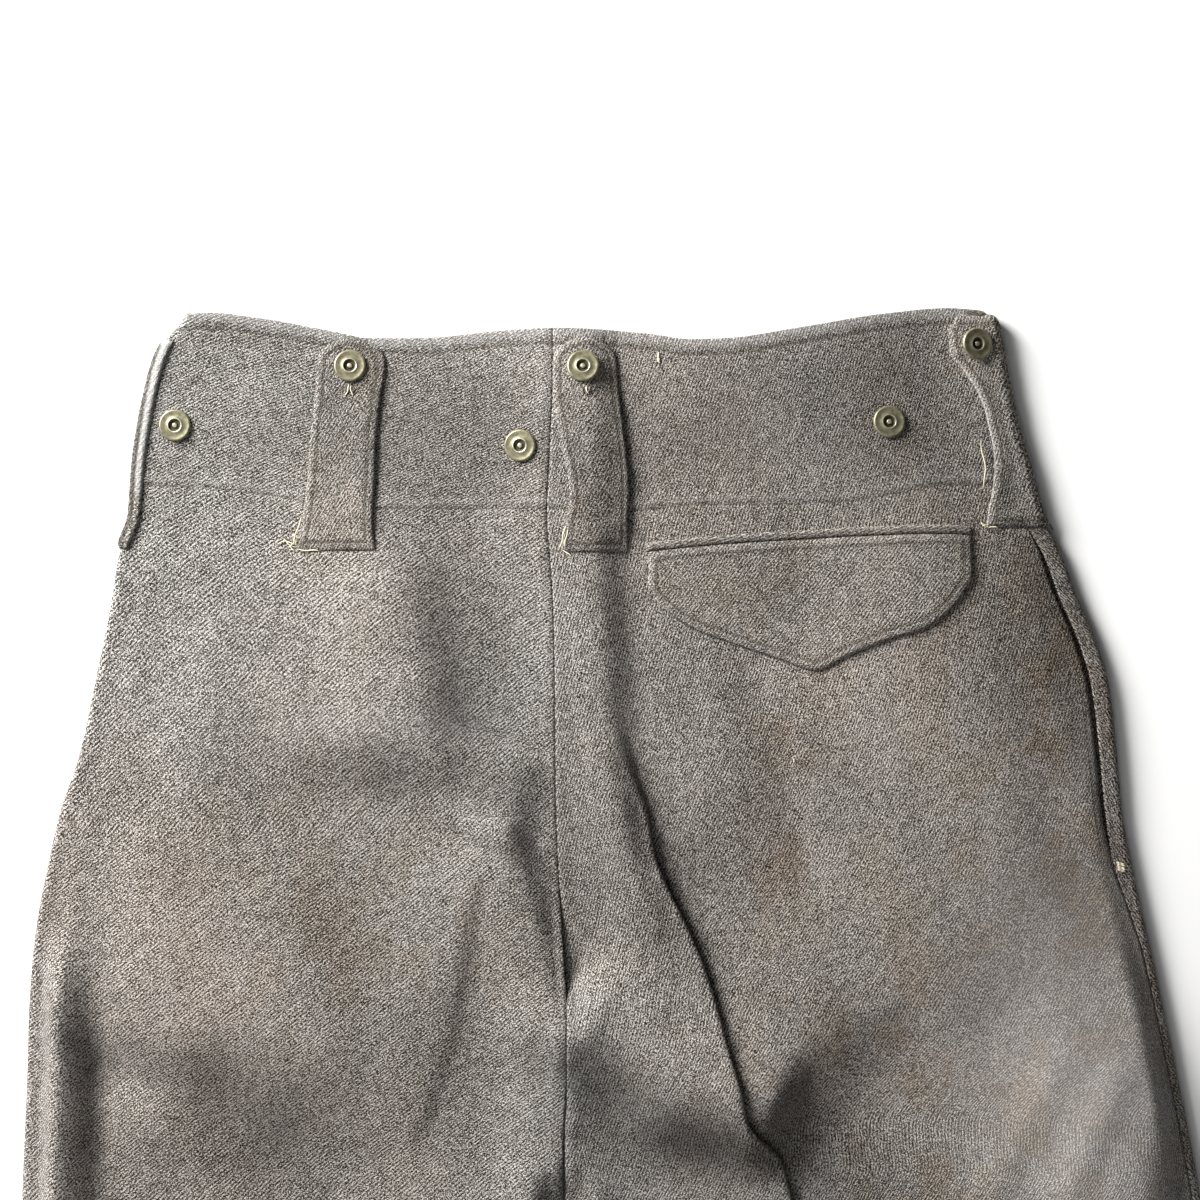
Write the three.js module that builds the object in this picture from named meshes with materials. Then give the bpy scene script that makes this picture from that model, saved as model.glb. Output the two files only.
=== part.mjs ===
// Battledress trousers in heavy wool serge, laid flat on a surface with the back upwards.
//
// Millimetres. X runs across to the wearer's right, Y up towards the waist and Z off the surface.
// A depth is measured down the garment from the highest point of the waist.
// Each half is one flattened tube: a row at a given depth starts at the inner edge, runs outwards
// under the garment, turns round the rolled side and comes back inwards over the top.
import * as THREE from "three";

// Driving dimensions of the garment.
const LENGTH = 1120;
const CROTCH_DEPTH = 478;
const CLOTH = 2;
const SEAM_GAP = 0.3;
const LAYER_GAP = 0.6;
const ROLL_RADIUS = 3;
const FORK_LENGTH = 40;
const SETTLE_SPAN = 45;
const RELIEF_MARGIN = 16;
const WAIST_FADE = 120;

// Where the back lies when it is flat on the front, measured at mid-thickness.
const LIE = CLOTH + LAYER_GAP + CLOTH / 2;

// Trapped air that lifts the back off the front, less so down the legs.
const LOFT = 5.5;
const LOFT_START = -20;
const LOFT_FULL = 70;
const LOFT_FADE = 520;
const LOFT_END = 720;
const LOFT_LOST = 0.6;
const LOFT_EDGE = 70;

// The tucked fold on the right of the seat.
const TUCK_RADIUS = 1.9;
const SHORTEST_BEND = 3;
const BEND_SHARE = 0.4;
const SMALLEST_TURN = 0.01;
const RAMP_MARGIN = 6;

// Side seams and the slanting pocket on the right one.
const LEFT_SEAM_INSET = 14;
const POCKET_TOP = 122;
const POCKET_BOTTOM = 291;
const POCKET_OPEN = 1.1;
const POCKET_EVEN = 0.8;
const FACING_THICKNESS = 1.2;
const FACING_REACH = 12;
const FACING_GAP = 0.9;

// Belt loops, which are doubled cloth, and the lift that the hidden one gives to the left side.
const LOOP_THICKNESS = 2.4;
const TRIM_GAP = 0.5;
const LOOP_LIFT = LOOP_THICKNESS + TRIM_GAP;
const LIFT_REACH = 22;
const LIFT_MARGIN = 14;
const LIFT_TAPER = 40;
const LIFT_TOP = 12;
const LIFT_BOTTOM = 134;

// Hip pocket trim.
const FLAP_THICKNESS = 2;
const WELT_THICKNESS = 2.4;
const WELT_HEIGHT = 4.5;

// Metal ring buttons.
const BUTTON_RADIUS = 8.5;
const BUTTON_ROUGHNESS = 0.45;
const BUTTON_METAL = 0.8;
const BUTTON_FACETS = 20;

const SERGE = 0x6f6a61;
const SERGE_DARK = 0x5d564e;
const BRASS = 0x7d7a52;

/** Turns rows of numbers into records with named columns. */
function table(names, rows) {
  return rows.map((row) => Object.fromEntries(names.map((name, i) => [name, row[i]])));
}

// Outline of the laid garment: the two rolled sides, and the inner edge of each half, which are
// the centre seam down to the crotch and the inner legs below it.
const OUTLINE = table(
  ["depth", "leftSide", "leftInner", "rightInner", "rightSide"],
  [
    [0, -234, -39, -39, 189],
    [6, -237, -39, -39, 196],
    [14, -244, -39, -39, 198],
    [32, -251, -39, -39, 201],
    [60, -257, -40, -40, 206.7],
    [85, -260.3, -41, -41, 213.7],
    [110, -262.2, -42, -42, 220.7],
    [130, -269, -40.5, -40.5, 231],
    [152, -272.8, -39, -39, 239],
    [175, -277.4, -38.2, -38.2, 249],
    [200, -282.7, -37.8, -37.8, 256.4],
    [236, -290.4, -37.5, -37.5, 260.7],
    [270, -301.6, -37, -37, 263.8],
    [297, -307.6, -36, -36, 268.9],
    [323, -312.7, -34.5, -34.5, 274.6],
    [348, -315.8, -32.8, -32.8, 280.2],
    [378, -317.6, -31.4, -31.4, 286.7],
    [408, -318.4, -31.4, -31.4, 292.8],
    [440, -319.8, -33, -33, 299.2],
    [478, -321.2, -33, -33, 306],
    [520, -321.5, -36, -20, 312.6],
    [600, -320.4, -43, 4, 318.9],
    [700, -315.5, -50, 29, 321.5],
    [850, -304, -56, 55, 318.5],
    [1000, -292, -59, 73, 309.5],
    [1120, -283, -60, 82, 301],
  ],
);

// How far the waist edge dips below its highest point, across the garment.
const WAIST_EDGE = table(
  ["x", "dip"],
  [
    [-234, 3],
    [-221, 2.5],
    [-196, 5],
    [-156, 12],
    [-136, 15.6],
    [-112, 15.6],
    [-62, 11.4],
    [-40, 10.4],
    [-17, 11],
    [11, 13.2],
    [34, 16.3],
    [53, 15.9],
    [91, 10.6],
    [138, 2.9],
    [170, 0],
    [192, 1.6],
  ],
);

// The fold that carries the fullness of the seat on the right: where its crest lies, how far the
// cloth turns over there, and how deep it is tucked under.
const TUCK = table(
  ["depth", "crest", "turn", "tuck"],
  [
    [0, -8, 0, 3],
    [215, -6, 0, 3],
    [240, 0, 40, 3],
    [267, 10, 80, 3],
    [289, 14, 115, 3],
    [309, 22, 145, 4],
    [325, 30, 165, 6],
    [348, 40, 180, 9],
    [368, 46.4, 180, 12],
    [390, 52.3, 180, 15],
    [411, 58.6, 180, 17],
    [428, 62.5, 180, 19],
    [451, 80.9, 180, 20],
    [470, 86, 180, 21],
    [520, 100, 180, 18],
    [580, 117, 160, 8],
    [640, 131, 110, 4],
    [700, 142, 50, 3],
    [760, 150, 0, 3],
    [1120, 176, 0, 3],
  ],
);

// How far in from the right side's outline its side seam lies.
const RIGHT_SEAM = table(
  ["depth", "inset"],
  [
    [0, 11],
    [291, 11],
    [318, 7.5],
    [345, 4.9],
    [1120, 4.9],
  ],
);

// Folds of the top layer, each a ridge along a path of x and depth, or a trough where its height
// is below 0. It falls over its first width on the left-hand side of the way it runs and over its
// second width on the right-hand side, and it fades in and out over its taper.
const CREASES = table(
  ["path", "left", "right", "height", "taper"],
  [
    // The upper dome of the left seat: its fall to the right and its lower edge.
    [[[-160, 118], [-138, 140], [-119, 176], [-107, 236]], 62, 110, 8, 90],
    [[[-120, 140], [-110, 196], [-103, 240]], 28, 60, 6, 60],
    [[[-170, 222], [-136, 228], [-104, 232], [-70, 246]], 80, 34, 4.5, 70],
    // The lower dome: its lower edge, the ridge below that and the trough along the side.
    [[[-292, 372], [-262, 380], [-232, 390], [-200, 404], [-160, 430]], 120, 30, 8, 80],
    [[[-258, 412], [-220, 450], [-204, 490], [-194, 570]], 56, 40, 12, 50],
    [[[-306, 340], [-302, 400], [-302, 560]], 25, 12, 13, 50],
    // The wedge beside the centre seam and the thin crease that runs down from it.
    [[[-57, 236], [-64, 260], [-72, 282]], 26, 60, 6.5, 14],
    [[[-66, 276], [-53, 314], [-43, 346], [-38, 392]], 16, 36, 7, 30],
    [[[-82, 300], [-97, 384], [-114, 440]], 10, 40, 2.6, 40],
    // The centre back, which falls to the right into the tucked fold.
    [[[-24, 0], [-19, 117], [-14, 190], [-12, 245], [-6, 280]], 20, 60, 6.5, 60],
    [[[-5, 258], [2, 296], [16, 332]], 13, 26, 3, 30],
    // The hollow at the foot of the tucked fold: the seam's ridge and the fold's own lower edge.
    [[[-36, 366], [-34, 430], [-36, 500]], 34, 50, 6, 40],
    [[[-28, 374], [-6, 386], [28, 410], [80, 430]], 60, 42, 17, 24],
    // The arch on the right of the seat and the side of the thigh.
    [[[62, 434], [85, 400], [111, 372], [151, 354], [184, 364]], 110, 46, 8, 60],
    [[[290, 350], [276, 428], [267, 479], [259, 540]], 32, 76, 10, 120],
    [[[186, 480], [228, 396]], 15, 15, 2, 40],
    [[[226, 480], [262, 396]], 15, 15, 2, 40],
    // The right side of the waist falls to the side seam; soft folds below the flap.
    [[[96, -20], [112, 90], [160, 190], [205, 300], [236, 420], [244, 560]], 100, 110, 8, 100],
    [[[24, 192], [42, 230]], 14, 16, -1.2, 30],
    [[[60, 190], [76, 228], [100, 308]], 18, 20, -1.8, 40],
    // The legs.
    [[[-205, 560], [-172, 900]], 60, 60, 5, 80],
    [[[188, 600], [200, 980]], 60, 60, 5, 80],
    [[[-120, 500], [-138, 640]], 40, 40, 3.4, 40],
    [[[-245, 690], [-126, 780]], 40, 30, 3.4, 40],
    [[[120, 820], [240, 900]], 40, 30, 3, 40],
    [[[-270, 900], [-120, 1000]], 36, 50, 3, 40],
    [[[110, 1010], [250, 960]], 40, 36, 3, 40],
  ],
);
const NEAREST = 3;
const NEAREST_POWER = -5;

// Soft rises over trapped air.
const BULGES = table(
  ["x", "depth", "across", "down", "height"],
  [
    [-190, 185, 110, 95, 3],
    [-190, 320, 160, 120, 3],
    [150, 290, 160, 130, 2],
  ],
);

// Belt loops that lie flat on the back: their upper ends are round, and the sides run straight
// from the upper corners to the lower ones.
const FLAT_LOOPS = table(
  ["name", "half", "top", "bottom", "left", "right", "leftLow", "rightLow"],
  [
    ["belt_loop_back_left", -1, 15.5, 130, -164, -128, -173, -132.2],
    ["belt_loop_back_centre", 1, 16.5, 130, -38.5, -5.8, -33.6, 0.8],
  ],
);

// Belt loops that wrap round the rolled sides: how far each one reaches onto the back, measured
// from the line where the roll starts, and how far it goes round the roll from that line.
const SIDE_LOOPS = [
  {
    name: "belt_loop_side_left",
    half: -1,
    roundReach: 23.4,
    edge: table(
      ["depth", "onBack"],
      [
        [15, 1],
        [128, 0.5],
      ],
    ),
  },
  {
    name: "belt_loop_side_right",
    half: 1,
    roundReach: 6.3,
    edge: table(
      ["depth", "onBack"],
      [
        [3, 15],
        [10, 23],
        [23, 24],
        [33, 18.6],
        [44, 14],
        [56, 12],
        [70, 12.5],
        [84, 15],
        [100, 21],
        [116.5, 29],
      ],
    ),
  },
];
const LOOP_ROUND_ROWS = 4;
const LOOP_FLAT_ROWS = 6;
const LOOP_COLUMNS = 4;
const SIDE_LOOP_COLUMNS = 4;

// Hip pocket flap: its upper and lower edges across the right back.
const FLAP = table(
  ["x", "upper", "lower"],
  [
    [11.4, 129.3, 148],
    [17, 128.6, 157],
    [35, 126.7, 169.6],
    [60, 124.6, 178.8],
    [84, 123.2, 187],
    [100, 122.4, 192],
    [116, 121.4, 184.5],
    [138, 120.6, 175.4],
    [157, 120, 169.5],
    [172, 120.1, 158],
    [182, 120.9, 144],
  ],
);
const FLAP_COLUMNS = 16;
const FLAP_ROWS = 3;
const FACING_ROWS = 8;
const FACING_COLUMNS = 4;

// Ring buttons: where each one sits, what it sits on, and how far it leans to the wearer's right.
const BUTTONS = table(
  ["name", "half", "x", "depth", "under", "lean"],
  [
    ["jacket_button_left", -1, -238.7, 62.5, 0, 0],
    ["jacket_button_centre", -1, -55.9, 73.1, 0, 0],
    ["jacket_button_right", 1, 138.1, 61, 0, 0],
    ["loop_button_left", -1, -146.5, 31.3, LOOP_THICKNESS, 0],
    ["loop_button_centre", 1, -23, 32.3, LOOP_THICKNESS, 0],
    ["loop_button_right", 1, 184.5, 19.6, LOOP_THICKNESS, 16],
  ],
);

// Section of a ring button from its axis outwards, as radius and height above its underside: the
// shank end stands in the hole, inside a raised lip, a dished face and a rounded rim.
const BUTTON_SECTION = table(
  ["radius", "height"],
  [
    [0, 0],
    [8.1, 0],
    [8.5, 0.5],
    [8.4, 1.3],
    [7.7, 1.9],
    [6.6, 1.5],
    [4.4, 1.6],
    [3.7, 2.1],
    [3.1, 1.8],
    [3, 0.6],
    [1.8, 0.6],
    [1.6, 1.5],
    [0, 1.6],
  ],
);

// Depths of the rows that every panel shares.
const ROW_DEPTHS = [
  0, 6, 14, 32, 60, 85, 110, 122, 134, 155, 180, 210, 240, 267, 289, 312, 335, 360, 388, 415, 440,
  462, 478, 500, 545, 610, 700, 820, 960, 1120,
];

// Columns of each stretch of a row.
const CURL_COLUMNS = 2;
const UNDER_COLUMNS = 4;
const SEAM_COLUMNS = 1;
const ROLL_COLUMNS = 6;
const OVER_COLUMNS_LEFT = 13;
const OVER_COLUMNS_RIGHT = 11;
const OVER_CROWDING = 1.3;
const TUCK_COLUMNS = 8;
const LOBE_COLUMNS = 5;

// Steps for measuring the surface's tilt.
const PART_STEP = 1e-4;
const ROW_STEP = 0.25;

// How often the row at a depth is worked out anew, each time nearer.
const ROW_TRIES = 12;

/** Keeps a number between two others. */
function clamp(value, low, high) {
  return Math.min(Math.max(value, low), high);
}

/** Rises smoothly from 0 to 1 as its input does. */
function smooth(value) {
  const part = clamp(value, 0, 1);
  return part * part * (3 - 2 * part);
}

/** A smooth curve through two columns of a table, with no overshoot between the rows. */
function curveThrough(rows, inputName, outputName) {
  const xs = rows.map((row) => row[inputName]);
  const ys = rows.map((row) => row[outputName]);
  const last = xs.length - 1;
  const rises = xs.slice(1).map((x, i) => (ys[i + 1] - ys[i]) / (x - xs[i]));
  const slopes = xs.map((_, i) => {
    if (i === 0 || i === last) return rises[Math.min(i, last - 1)];
    const before = rises[i - 1];
    const after = rises[i];
    return before * after <= 0 ? 0 : (2 * before * after) / (before + after);
  });
  return (input) => {
    const x = clamp(input, xs[0], xs[last]);
    let i = 0;
    while (i < last - 1 && x > xs[i + 1]) i += 1;
    const span = xs[i + 1] - xs[i];
    const q = (x - xs[i]) / span;
    const start = ys[i] * (1 + 2 * q) * (1 - q) ** 2 + slopes[i] * span * q * (1 - q) ** 2;
    const end = ys[i + 1] * q * q * (3 - 2 * q) + slopes[i + 1] * span * q * q * (q - 1);
    return start + end;
  };
}

const outlineOf = Object.fromEntries(
  ["leftSide", "leftInner", "rightInner", "rightSide"].map((name) => [
    name,
    curveThrough(OUTLINE, "depth", name),
  ]),
);
const waistDip = curveThrough(WAIST_EDGE, "x", "dip");
const rightSeamInset = curveThrough(RIGHT_SEAM, "depth", "inset");
const tuckCrest = curveThrough(TUCK, "depth", "crest");
const tuckTurn = curveThrough(TUCK, "depth", "turn");
const tuckDepth = curveThrough(TUCK, "depth", "tuck");
const flapUpper = curveThrough(FLAP, "x", "upper");
const flapLower = curveThrough(FLAP, "x", "lower");

/** How much of a raise is left at a distance from the edge that makes it. */
function settled(distance, span) {
  return 1 - smooth(distance / span);
}

/** Height that one crease adds at a place, blended from all of its path by nearness. */
function creaseHeight({ path, left, right, height, taper }, x, depth) {
  const spans = path.slice(1).map(([x2, depth2], i) => {
    const [x1, depth1] = path[i];
    const length = Math.hypot(x2 - x1, depth2 - depth1);
    return { x1, depth1, length, ux: (x2 - x1) / length, ud: (depth2 - depth1) / length };
  });
  const total = spans.reduce((sum, span) => sum + span.length, 0);
  let done = 0;
  let raised = 0;
  let weight = 0;
  for (const { x1, depth1, length, ux, ud } of spans) {
    const along = (x - x1) * ux + (depth - depth1) * ud;
    const inside = clamp(along, 0, length);
    const awayX = x - x1 - ux * inside;
    const awayDepth = depth - depth1 - ud * inside;
    const away = Math.hypot(awayX, awayDepth);
    const lean = away ? (awayX * ud - awayDepth * ux) / away : 0;
    const width = (left + right) / 2 + (lean * (left - right)) / 2;
    const end = smooth(Math.min(done + along, total - done - along) / taper + 0.5);
    const share = (away + NEAREST) ** NEAREST_POWER;
    raised += share * height * (1 - smooth(away / width)) * end;
    weight += share;
    done += length;
  }
  return raised / weight;
}

/** Height that one bulge adds at a place. */
function bulgeHeight(bulge, x, depth) {
  const away = Math.hypot((x - bulge.x) / bulge.across, (depth - bulge.depth) / bulge.down);
  return bulge.height * (1 - smooth(away));
}

/** Height of the top layer above where it would lie flat, away from the rolled sides. */
function reliefAt(x, depth) {
  const inside = Math.min(x - outlineOf.leftSide(depth), outlineOf.rightSide(depth) - x);
  const down = smooth((depth - LOFT_START) / (LOFT_FULL - LOFT_START));
  const up = 1 - LOFT_LOST * smooth((depth - LOFT_FADE) / (LOFT_END - LOFT_FADE));
  const loft = LOFT * down * up * smooth(inside / LOFT_EDGE);
  const creases = CREASES.reduce((sum, crease) => sum + creaseHeight(crease, x, depth), 0);
  const bulges = BULGES.reduce((sum, bulge) => sum + bulgeHeight(bulge, x, depth), 0);
  return Math.max(loft + creases + bulges, 0);
}

/** Sizes of one half of the garment at a row. half is -1 on the left and 1 on the right. */
function rowSizes(half, row) {
  const inner = (half < 0 ? outlineOf.leftInner : outlineOf.rightInner)(row);
  const outer = (half < 0 ? outlineOf.leftSide : outlineOf.rightSide)(row);
  const rise = smooth((row - CROTCH_DEPTH + FORK_LENGTH) / FORK_LENGTH);
  const curl = Math.max((Math.PI / 2) * rise, SMALLEST_TURN);
  const curlRadius = (ROLL_RADIUS * Math.PI) / 2 / curl;
  const flatStart = SEAM_GAP / 2 + (CLOTH / 2 + curlRadius) * Math.sin(curl);
  const curlDrop = curlRadius * (1 - Math.cos(curl));
  const layerGap = SEAM_GAP + (LAYER_GAP - SEAM_GAP) * Math.cos(curl);
  return {
    inner,
    curl,
    curlRadius,
    curlDrop,
    flatStart,
    flatEnd: Math.abs(outer - inner) - CLOTH / 2 - ROLL_RADIUS,
    innerRaise: 2 * curlDrop + CLOTH * Math.cos(curl) + layerGap - (LIE - CLOTH / 2),
  };
}

/** Lift of both layers at the left side, over the loop that is folded under it. */
function loopLift(half, fromRoll, row, reach) {
  if (half > 0) return 0;
  const side = 1 - smooth((fromRoll - reach) / LIFT_TAPER);
  const above = smooth((row - LIFT_TOP + LIFT_TAPER) / LIFT_TAPER);
  const below = 1 - smooth((row - LIFT_BOTTOM) / LIFT_TAPER);
  return LOOP_LIFT * side * above * below;
}

/** Height of the bottom layer at a distance out from the inner edge. */
function underHeight(half, out, row, sizes) {
  return CLOTH / 2 + loopLift(half, sizes.flatEnd - out, row, LIFT_REACH);
}

/** Height of the top layer at a distance out from the inner edge, without the tucked fold. */
function overHeight(half, out, row, sizes) {
  const fromRoll = sizes.flatEnd - out;
  const fromInner = out - sizes.flatStart;
  const rollRaise = CLOTH / 2 + 2 * ROLL_RADIUS - LIE;
  const curled = 1 - Math.cos(sizes.curl);
  const free = 1 - curled * settled(fromInner, RELIEF_MARGIN);
  return (
    LIE +
    loopLift(half, fromRoll, row, LIFT_REACH + LIFT_MARGIN) +
    rollRaise * settled(fromRoll, SETTLE_SPAN) +
    sizes.innerRaise * settled(fromInner, SETTLE_SPAN) +
    reliefAt(sizes.inner + half * out, row) * smooth(fromRoll / RELIEF_MARGIN) * free
  );
}

/** Shape of the tucked fold at a row, where a turn of half a circle lays it right over. */
function tuckSizes(row, sizes) {
  const turn = Math.max((tuckTurn(row) * Math.PI) / 180, SMALLEST_TURN);
  const bend = Math.max(TUCK_RADIUS * turn, SHORTEST_BEND);
  const radius = bend / turn;
  const tuck = tuckDepth(row);
  const crest = Math.abs(tuckCrest(row) - sizes.inner);
  const start = crest - radius * Math.sin(Math.min(turn, Math.PI / 2));
  return {
    turn,
    bend,
    radius,
    tuck,
    start,
    end: start + 2 * radius * Math.sin(turn) + tuck * Math.cos(turn),
    drop: 2 * radius * (1 - Math.cos(turn)) + tuck * Math.sin(turn),
  };
}

/** Offset from the start of the tucked fold, a part of the way from its crest to its foot. */
function tuckOffset(fold, part) {
  const { turn, bend, radius, tuck } = fold;
  const first = (clamp(part / BEND_SHARE, 0, 1) * bend) / radius;
  const middle = clamp((part - BEND_SHARE) / (1 - 2 * BEND_SHARE), 0, 1) * tuck;
  const second = turn - (clamp((part - 1 + BEND_SHARE) / BEND_SHARE, 0, 1) * bend) / radius;
  const bendOut = Math.sin(first) + Math.sin(turn) - Math.sin(second);
  const bendFall = 1 - Math.cos(first) + Math.cos(second) - Math.cos(turn);
  return {
    out: radius * bendOut + middle * Math.cos(turn),
    fall: radius * bendFall + middle * Math.sin(turn),
  };
}

// Each stretch of a row gives a place from a part between 0 and 1: how far out from the inner
// edge it is, and how high.
const STRETCHES = {
  underCurl(half, part, row, sizes) {
    const angle = sizes.curl * (1 - part);
    return {
      out: sizes.flatStart - sizes.curlRadius * Math.sin(angle),
      z: underHeight(half, sizes.flatStart, row, sizes) + sizes.curlRadius * (1 - Math.cos(angle)),
    };
  },
  under(half, part, row, sizes) {
    const out = sizes.flatStart + part * (sizes.flatEnd - sizes.flatStart);
    return { out, z: underHeight(half, out, row, sizes) };
  },
  roll(half, part, row, sizes) {
    const angle = Math.PI * part;
    return {
      out: sizes.flatEnd + ROLL_RADIUS * Math.sin(angle),
      z: underHeight(half, sizes.flatEnd, row, sizes) + ROLL_RADIUS * (1 - Math.cos(angle)),
    };
  },
  over(half, part, row, sizes) {
    const reach = half > 0 ? tuckSizes(row, sizes).end : sizes.flatStart;
    const out = sizes.flatEnd + part * (reach - sizes.flatEnd);
    return { out, z: overHeight(half, out, row, sizes) };
  },
  tuck(half, part, row, sizes) {
    const fold = tuckSizes(row, sizes);
    const offset = tuckOffset(fold, 1 - part);
    const out = fold.start + offset.out;
    return { out, z: overHeight(half, out, row, sizes) + fold.drop - offset.fall };
  },
  lobe(half, part, row, sizes) {
    const fold = tuckSizes(row, sizes);
    const out = fold.start + part * (sizes.flatStart - fold.start);
    const rampEnd = Math.max(fold.start - fold.tuck - RAMP_MARGIN, sizes.flatStart + RAMP_MARGIN);
    const ramp = smooth((out - sizes.flatStart) / (rampEnd - sizes.flatStart));
    return { out, z: overHeight(half, out, row, sizes) + fold.drop * ramp };
  },
  overCurl(half, part, row, sizes) {
    const angle = sizes.curl * part;
    return {
      out: sizes.flatStart - sizes.curlRadius * Math.sin(angle),
      z: overHeight(half, sizes.flatStart, row, sizes) - sizes.curlRadius * (1 - Math.cos(angle)),
    };
  },
  lay(half, part, row, sizes) {
    const past = part - sizes.flatEnd;
    if (past <= 0) return { out: part, z: overHeight(half, part, row, sizes) };
    const angle = past / ROLL_RADIUS;
    const floor = underHeight(half, sizes.flatEnd, row, sizes);
    if (angle > Math.PI) return { out: sizes.flatEnd - past + Math.PI * ROLL_RADIUS, z: floor };
    return {
      out: sizes.flatEnd + ROLL_RADIUS * Math.sin(angle),
      z: floor + ROLL_RADIUS * (1 + Math.cos(angle)),
    };
  },
};

/** A point at mid-thickness of the panels of one half. */
function pointOn(half, stretch, part, row) {
  const sizes = rowSizes(half, row);
  const place = STRETCHES[stretch](half, part, row, sizes);
  const x = sizes.inner + half * place.out;
  const dip = waistDip(x) * (1 - smooth(row / WAIST_FADE));
  return new THREE.Vector3(x, LENGTH / 2 - row - dip, place.z);
}

/** A point at mid-thickness with the direction that faces out of the garment there. */
function placeOn(half, { stretch, part, most = 1 }, row) {
  const low = Math.max(part - PART_STEP, 0);
  const high = Math.min(part + PART_STEP, most);
  const across = pointOn(half, stretch, high, row).sub(pointOn(half, stretch, low, row));
  const down = pointOn(half, stretch, part, row + ROW_STEP).sub(
    pointOn(half, stretch, part, row - ROW_STEP),
  );
  const way = stretch === "lay" ? -half : half;
  return {
    point: pointOn(half, stretch, part, row),
    outward: across.cross(down).multiplyScalar(way).normalize(),
  };
}

/** Height at mid-thickness of the faceted back panel where one of its rows crosses an x. */
function facetHeightInRow(half, x, row) {
  const line = PANELS[half > 0 ? "back_right" : "back_left"]
    .stations(row)
    .filter(({ stretch }) => !["under", "roll"].includes(stretch))
    .map(({ stretch, part }) => pointOn(half, stretch, part, row));
  const next = line.findIndex((point, i) => i > 0 && (point.x - x) * (line[i - 1].x - x) <= 0);
  if (next < 0) return -Infinity;
  const [before, after] = [line[next - 1], line[next]];
  const share = before.x === after.x ? 0 : (x - before.x) / (after.x - before.x);
  return before.z + (after.z - before.z) * share;
}

/** How far the facets of the back stand above its true surface at a place. */
function facetLift(half, point, row) {
  const next = clamp(ROW_DEPTHS.findIndex((depth) => depth > row), 1, ROW_DEPTHS.length - 1);
  const [above, below] = [ROW_DEPTHS[next - 1], ROW_DEPTHS[next]];
  const [upper, lower] = [above, below].map((depth) => facetHeightInRow(half, point.x, depth));
  const height = upper + ((lower - upper) * (row - above)) / (below - above);
  return Number.isFinite(height) ? Math.max(height - point.z, 0) : 0;
}

/** A place a distance out on the back, or round the roll beyond it, that clears the facets. */
function placeOut(half, out, row) {
  const part = Math.max(out, PART_STEP);
  const place = placeOn(half, { stretch: "lay", part, most: Infinity }, row);
  if (out < rowSizes(half, row).flatEnd) place.point.z += facetLift(half, place.point, row);
  return place;
}

/** The row that passes through a depth at an x, where the waist edge dips. */
function rowAt(x, depth) {
  let row = depth;
  for (let i = 0; i < ROW_TRIES; i += 1) {
    row = Math.max(depth - waistDip(x) * (1 - smooth(row / WAIST_FADE)), 0);
  }
  return row;
}

/** A place on the back at an x and a depth, or round the roll beyond it. */
function placeOnBack(half, x, depth) {
  const row = rowAt(x, depth);
  return placeOut(half, half * (x - rowSizes(half, row).inner), row);
}

/** Equal parts from one number to another, closer to the first where crowding is above 1. */
function partsBetween(from, to, count, crowding = 1) {
  return Array.from({ length: count + 1 }, (_, i) => from + (to - from) * (i / count) ** crowding);
}

/** Stations of one stretch, without the first one where the stretch before it ends there. */
function stationsOf(stretch, parts, joined = true) {
  return parts.slice(joined ? 1 : 0).map((part) => ({ stretch, part }));
}

/** How far out from the inner edge a half's side seam lies. */
function seamAt(half, row, sizes) {
  const inset = half > 0 ? rightSeamInset(row) : LEFT_SEAM_INSET;
  return sizes.flatEnd + ROLL_RADIUS + CLOTH / 2 - inset;
}

/** Parts of the stretch at which its panels end on both sides of the half's side seam. */
function seamParts(half, row) {
  const sizes = rowSizes(half, row);
  const seam = seamAt(half, row, sizes);
  const gap = seamHalfGap(half, row);
  const far = half > 0 ? tuckSizes(row, sizes).end : sizes.flatStart;
  const partAt = (out) =>
    half > 0 ? (sizes.flatEnd - out) / (sizes.flatEnd - far) : (out - far) / (sizes.flatEnd - far);
  return { outer: partAt(seam + gap), inner: partAt(seam - gap) };
}

/** Half of the gap between the two panels that meet at a side seam, wider at the pocket. */
function seamHalfGap(half, row) {
  if (half < 0) return SEAM_GAP / 2;
  const middle = (POCKET_TOP + POCKET_BOTTOM) / 2;
  const reach = (POCKET_BOTTOM - POCKET_TOP) / 2;
  const opened = 1 - smooth((Math.abs(row - middle) / reach - POCKET_EVEN) / (1 - POCKET_EVEN));
  return SEAM_GAP / 2 + POCKET_OPEN * opened;
}

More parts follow.
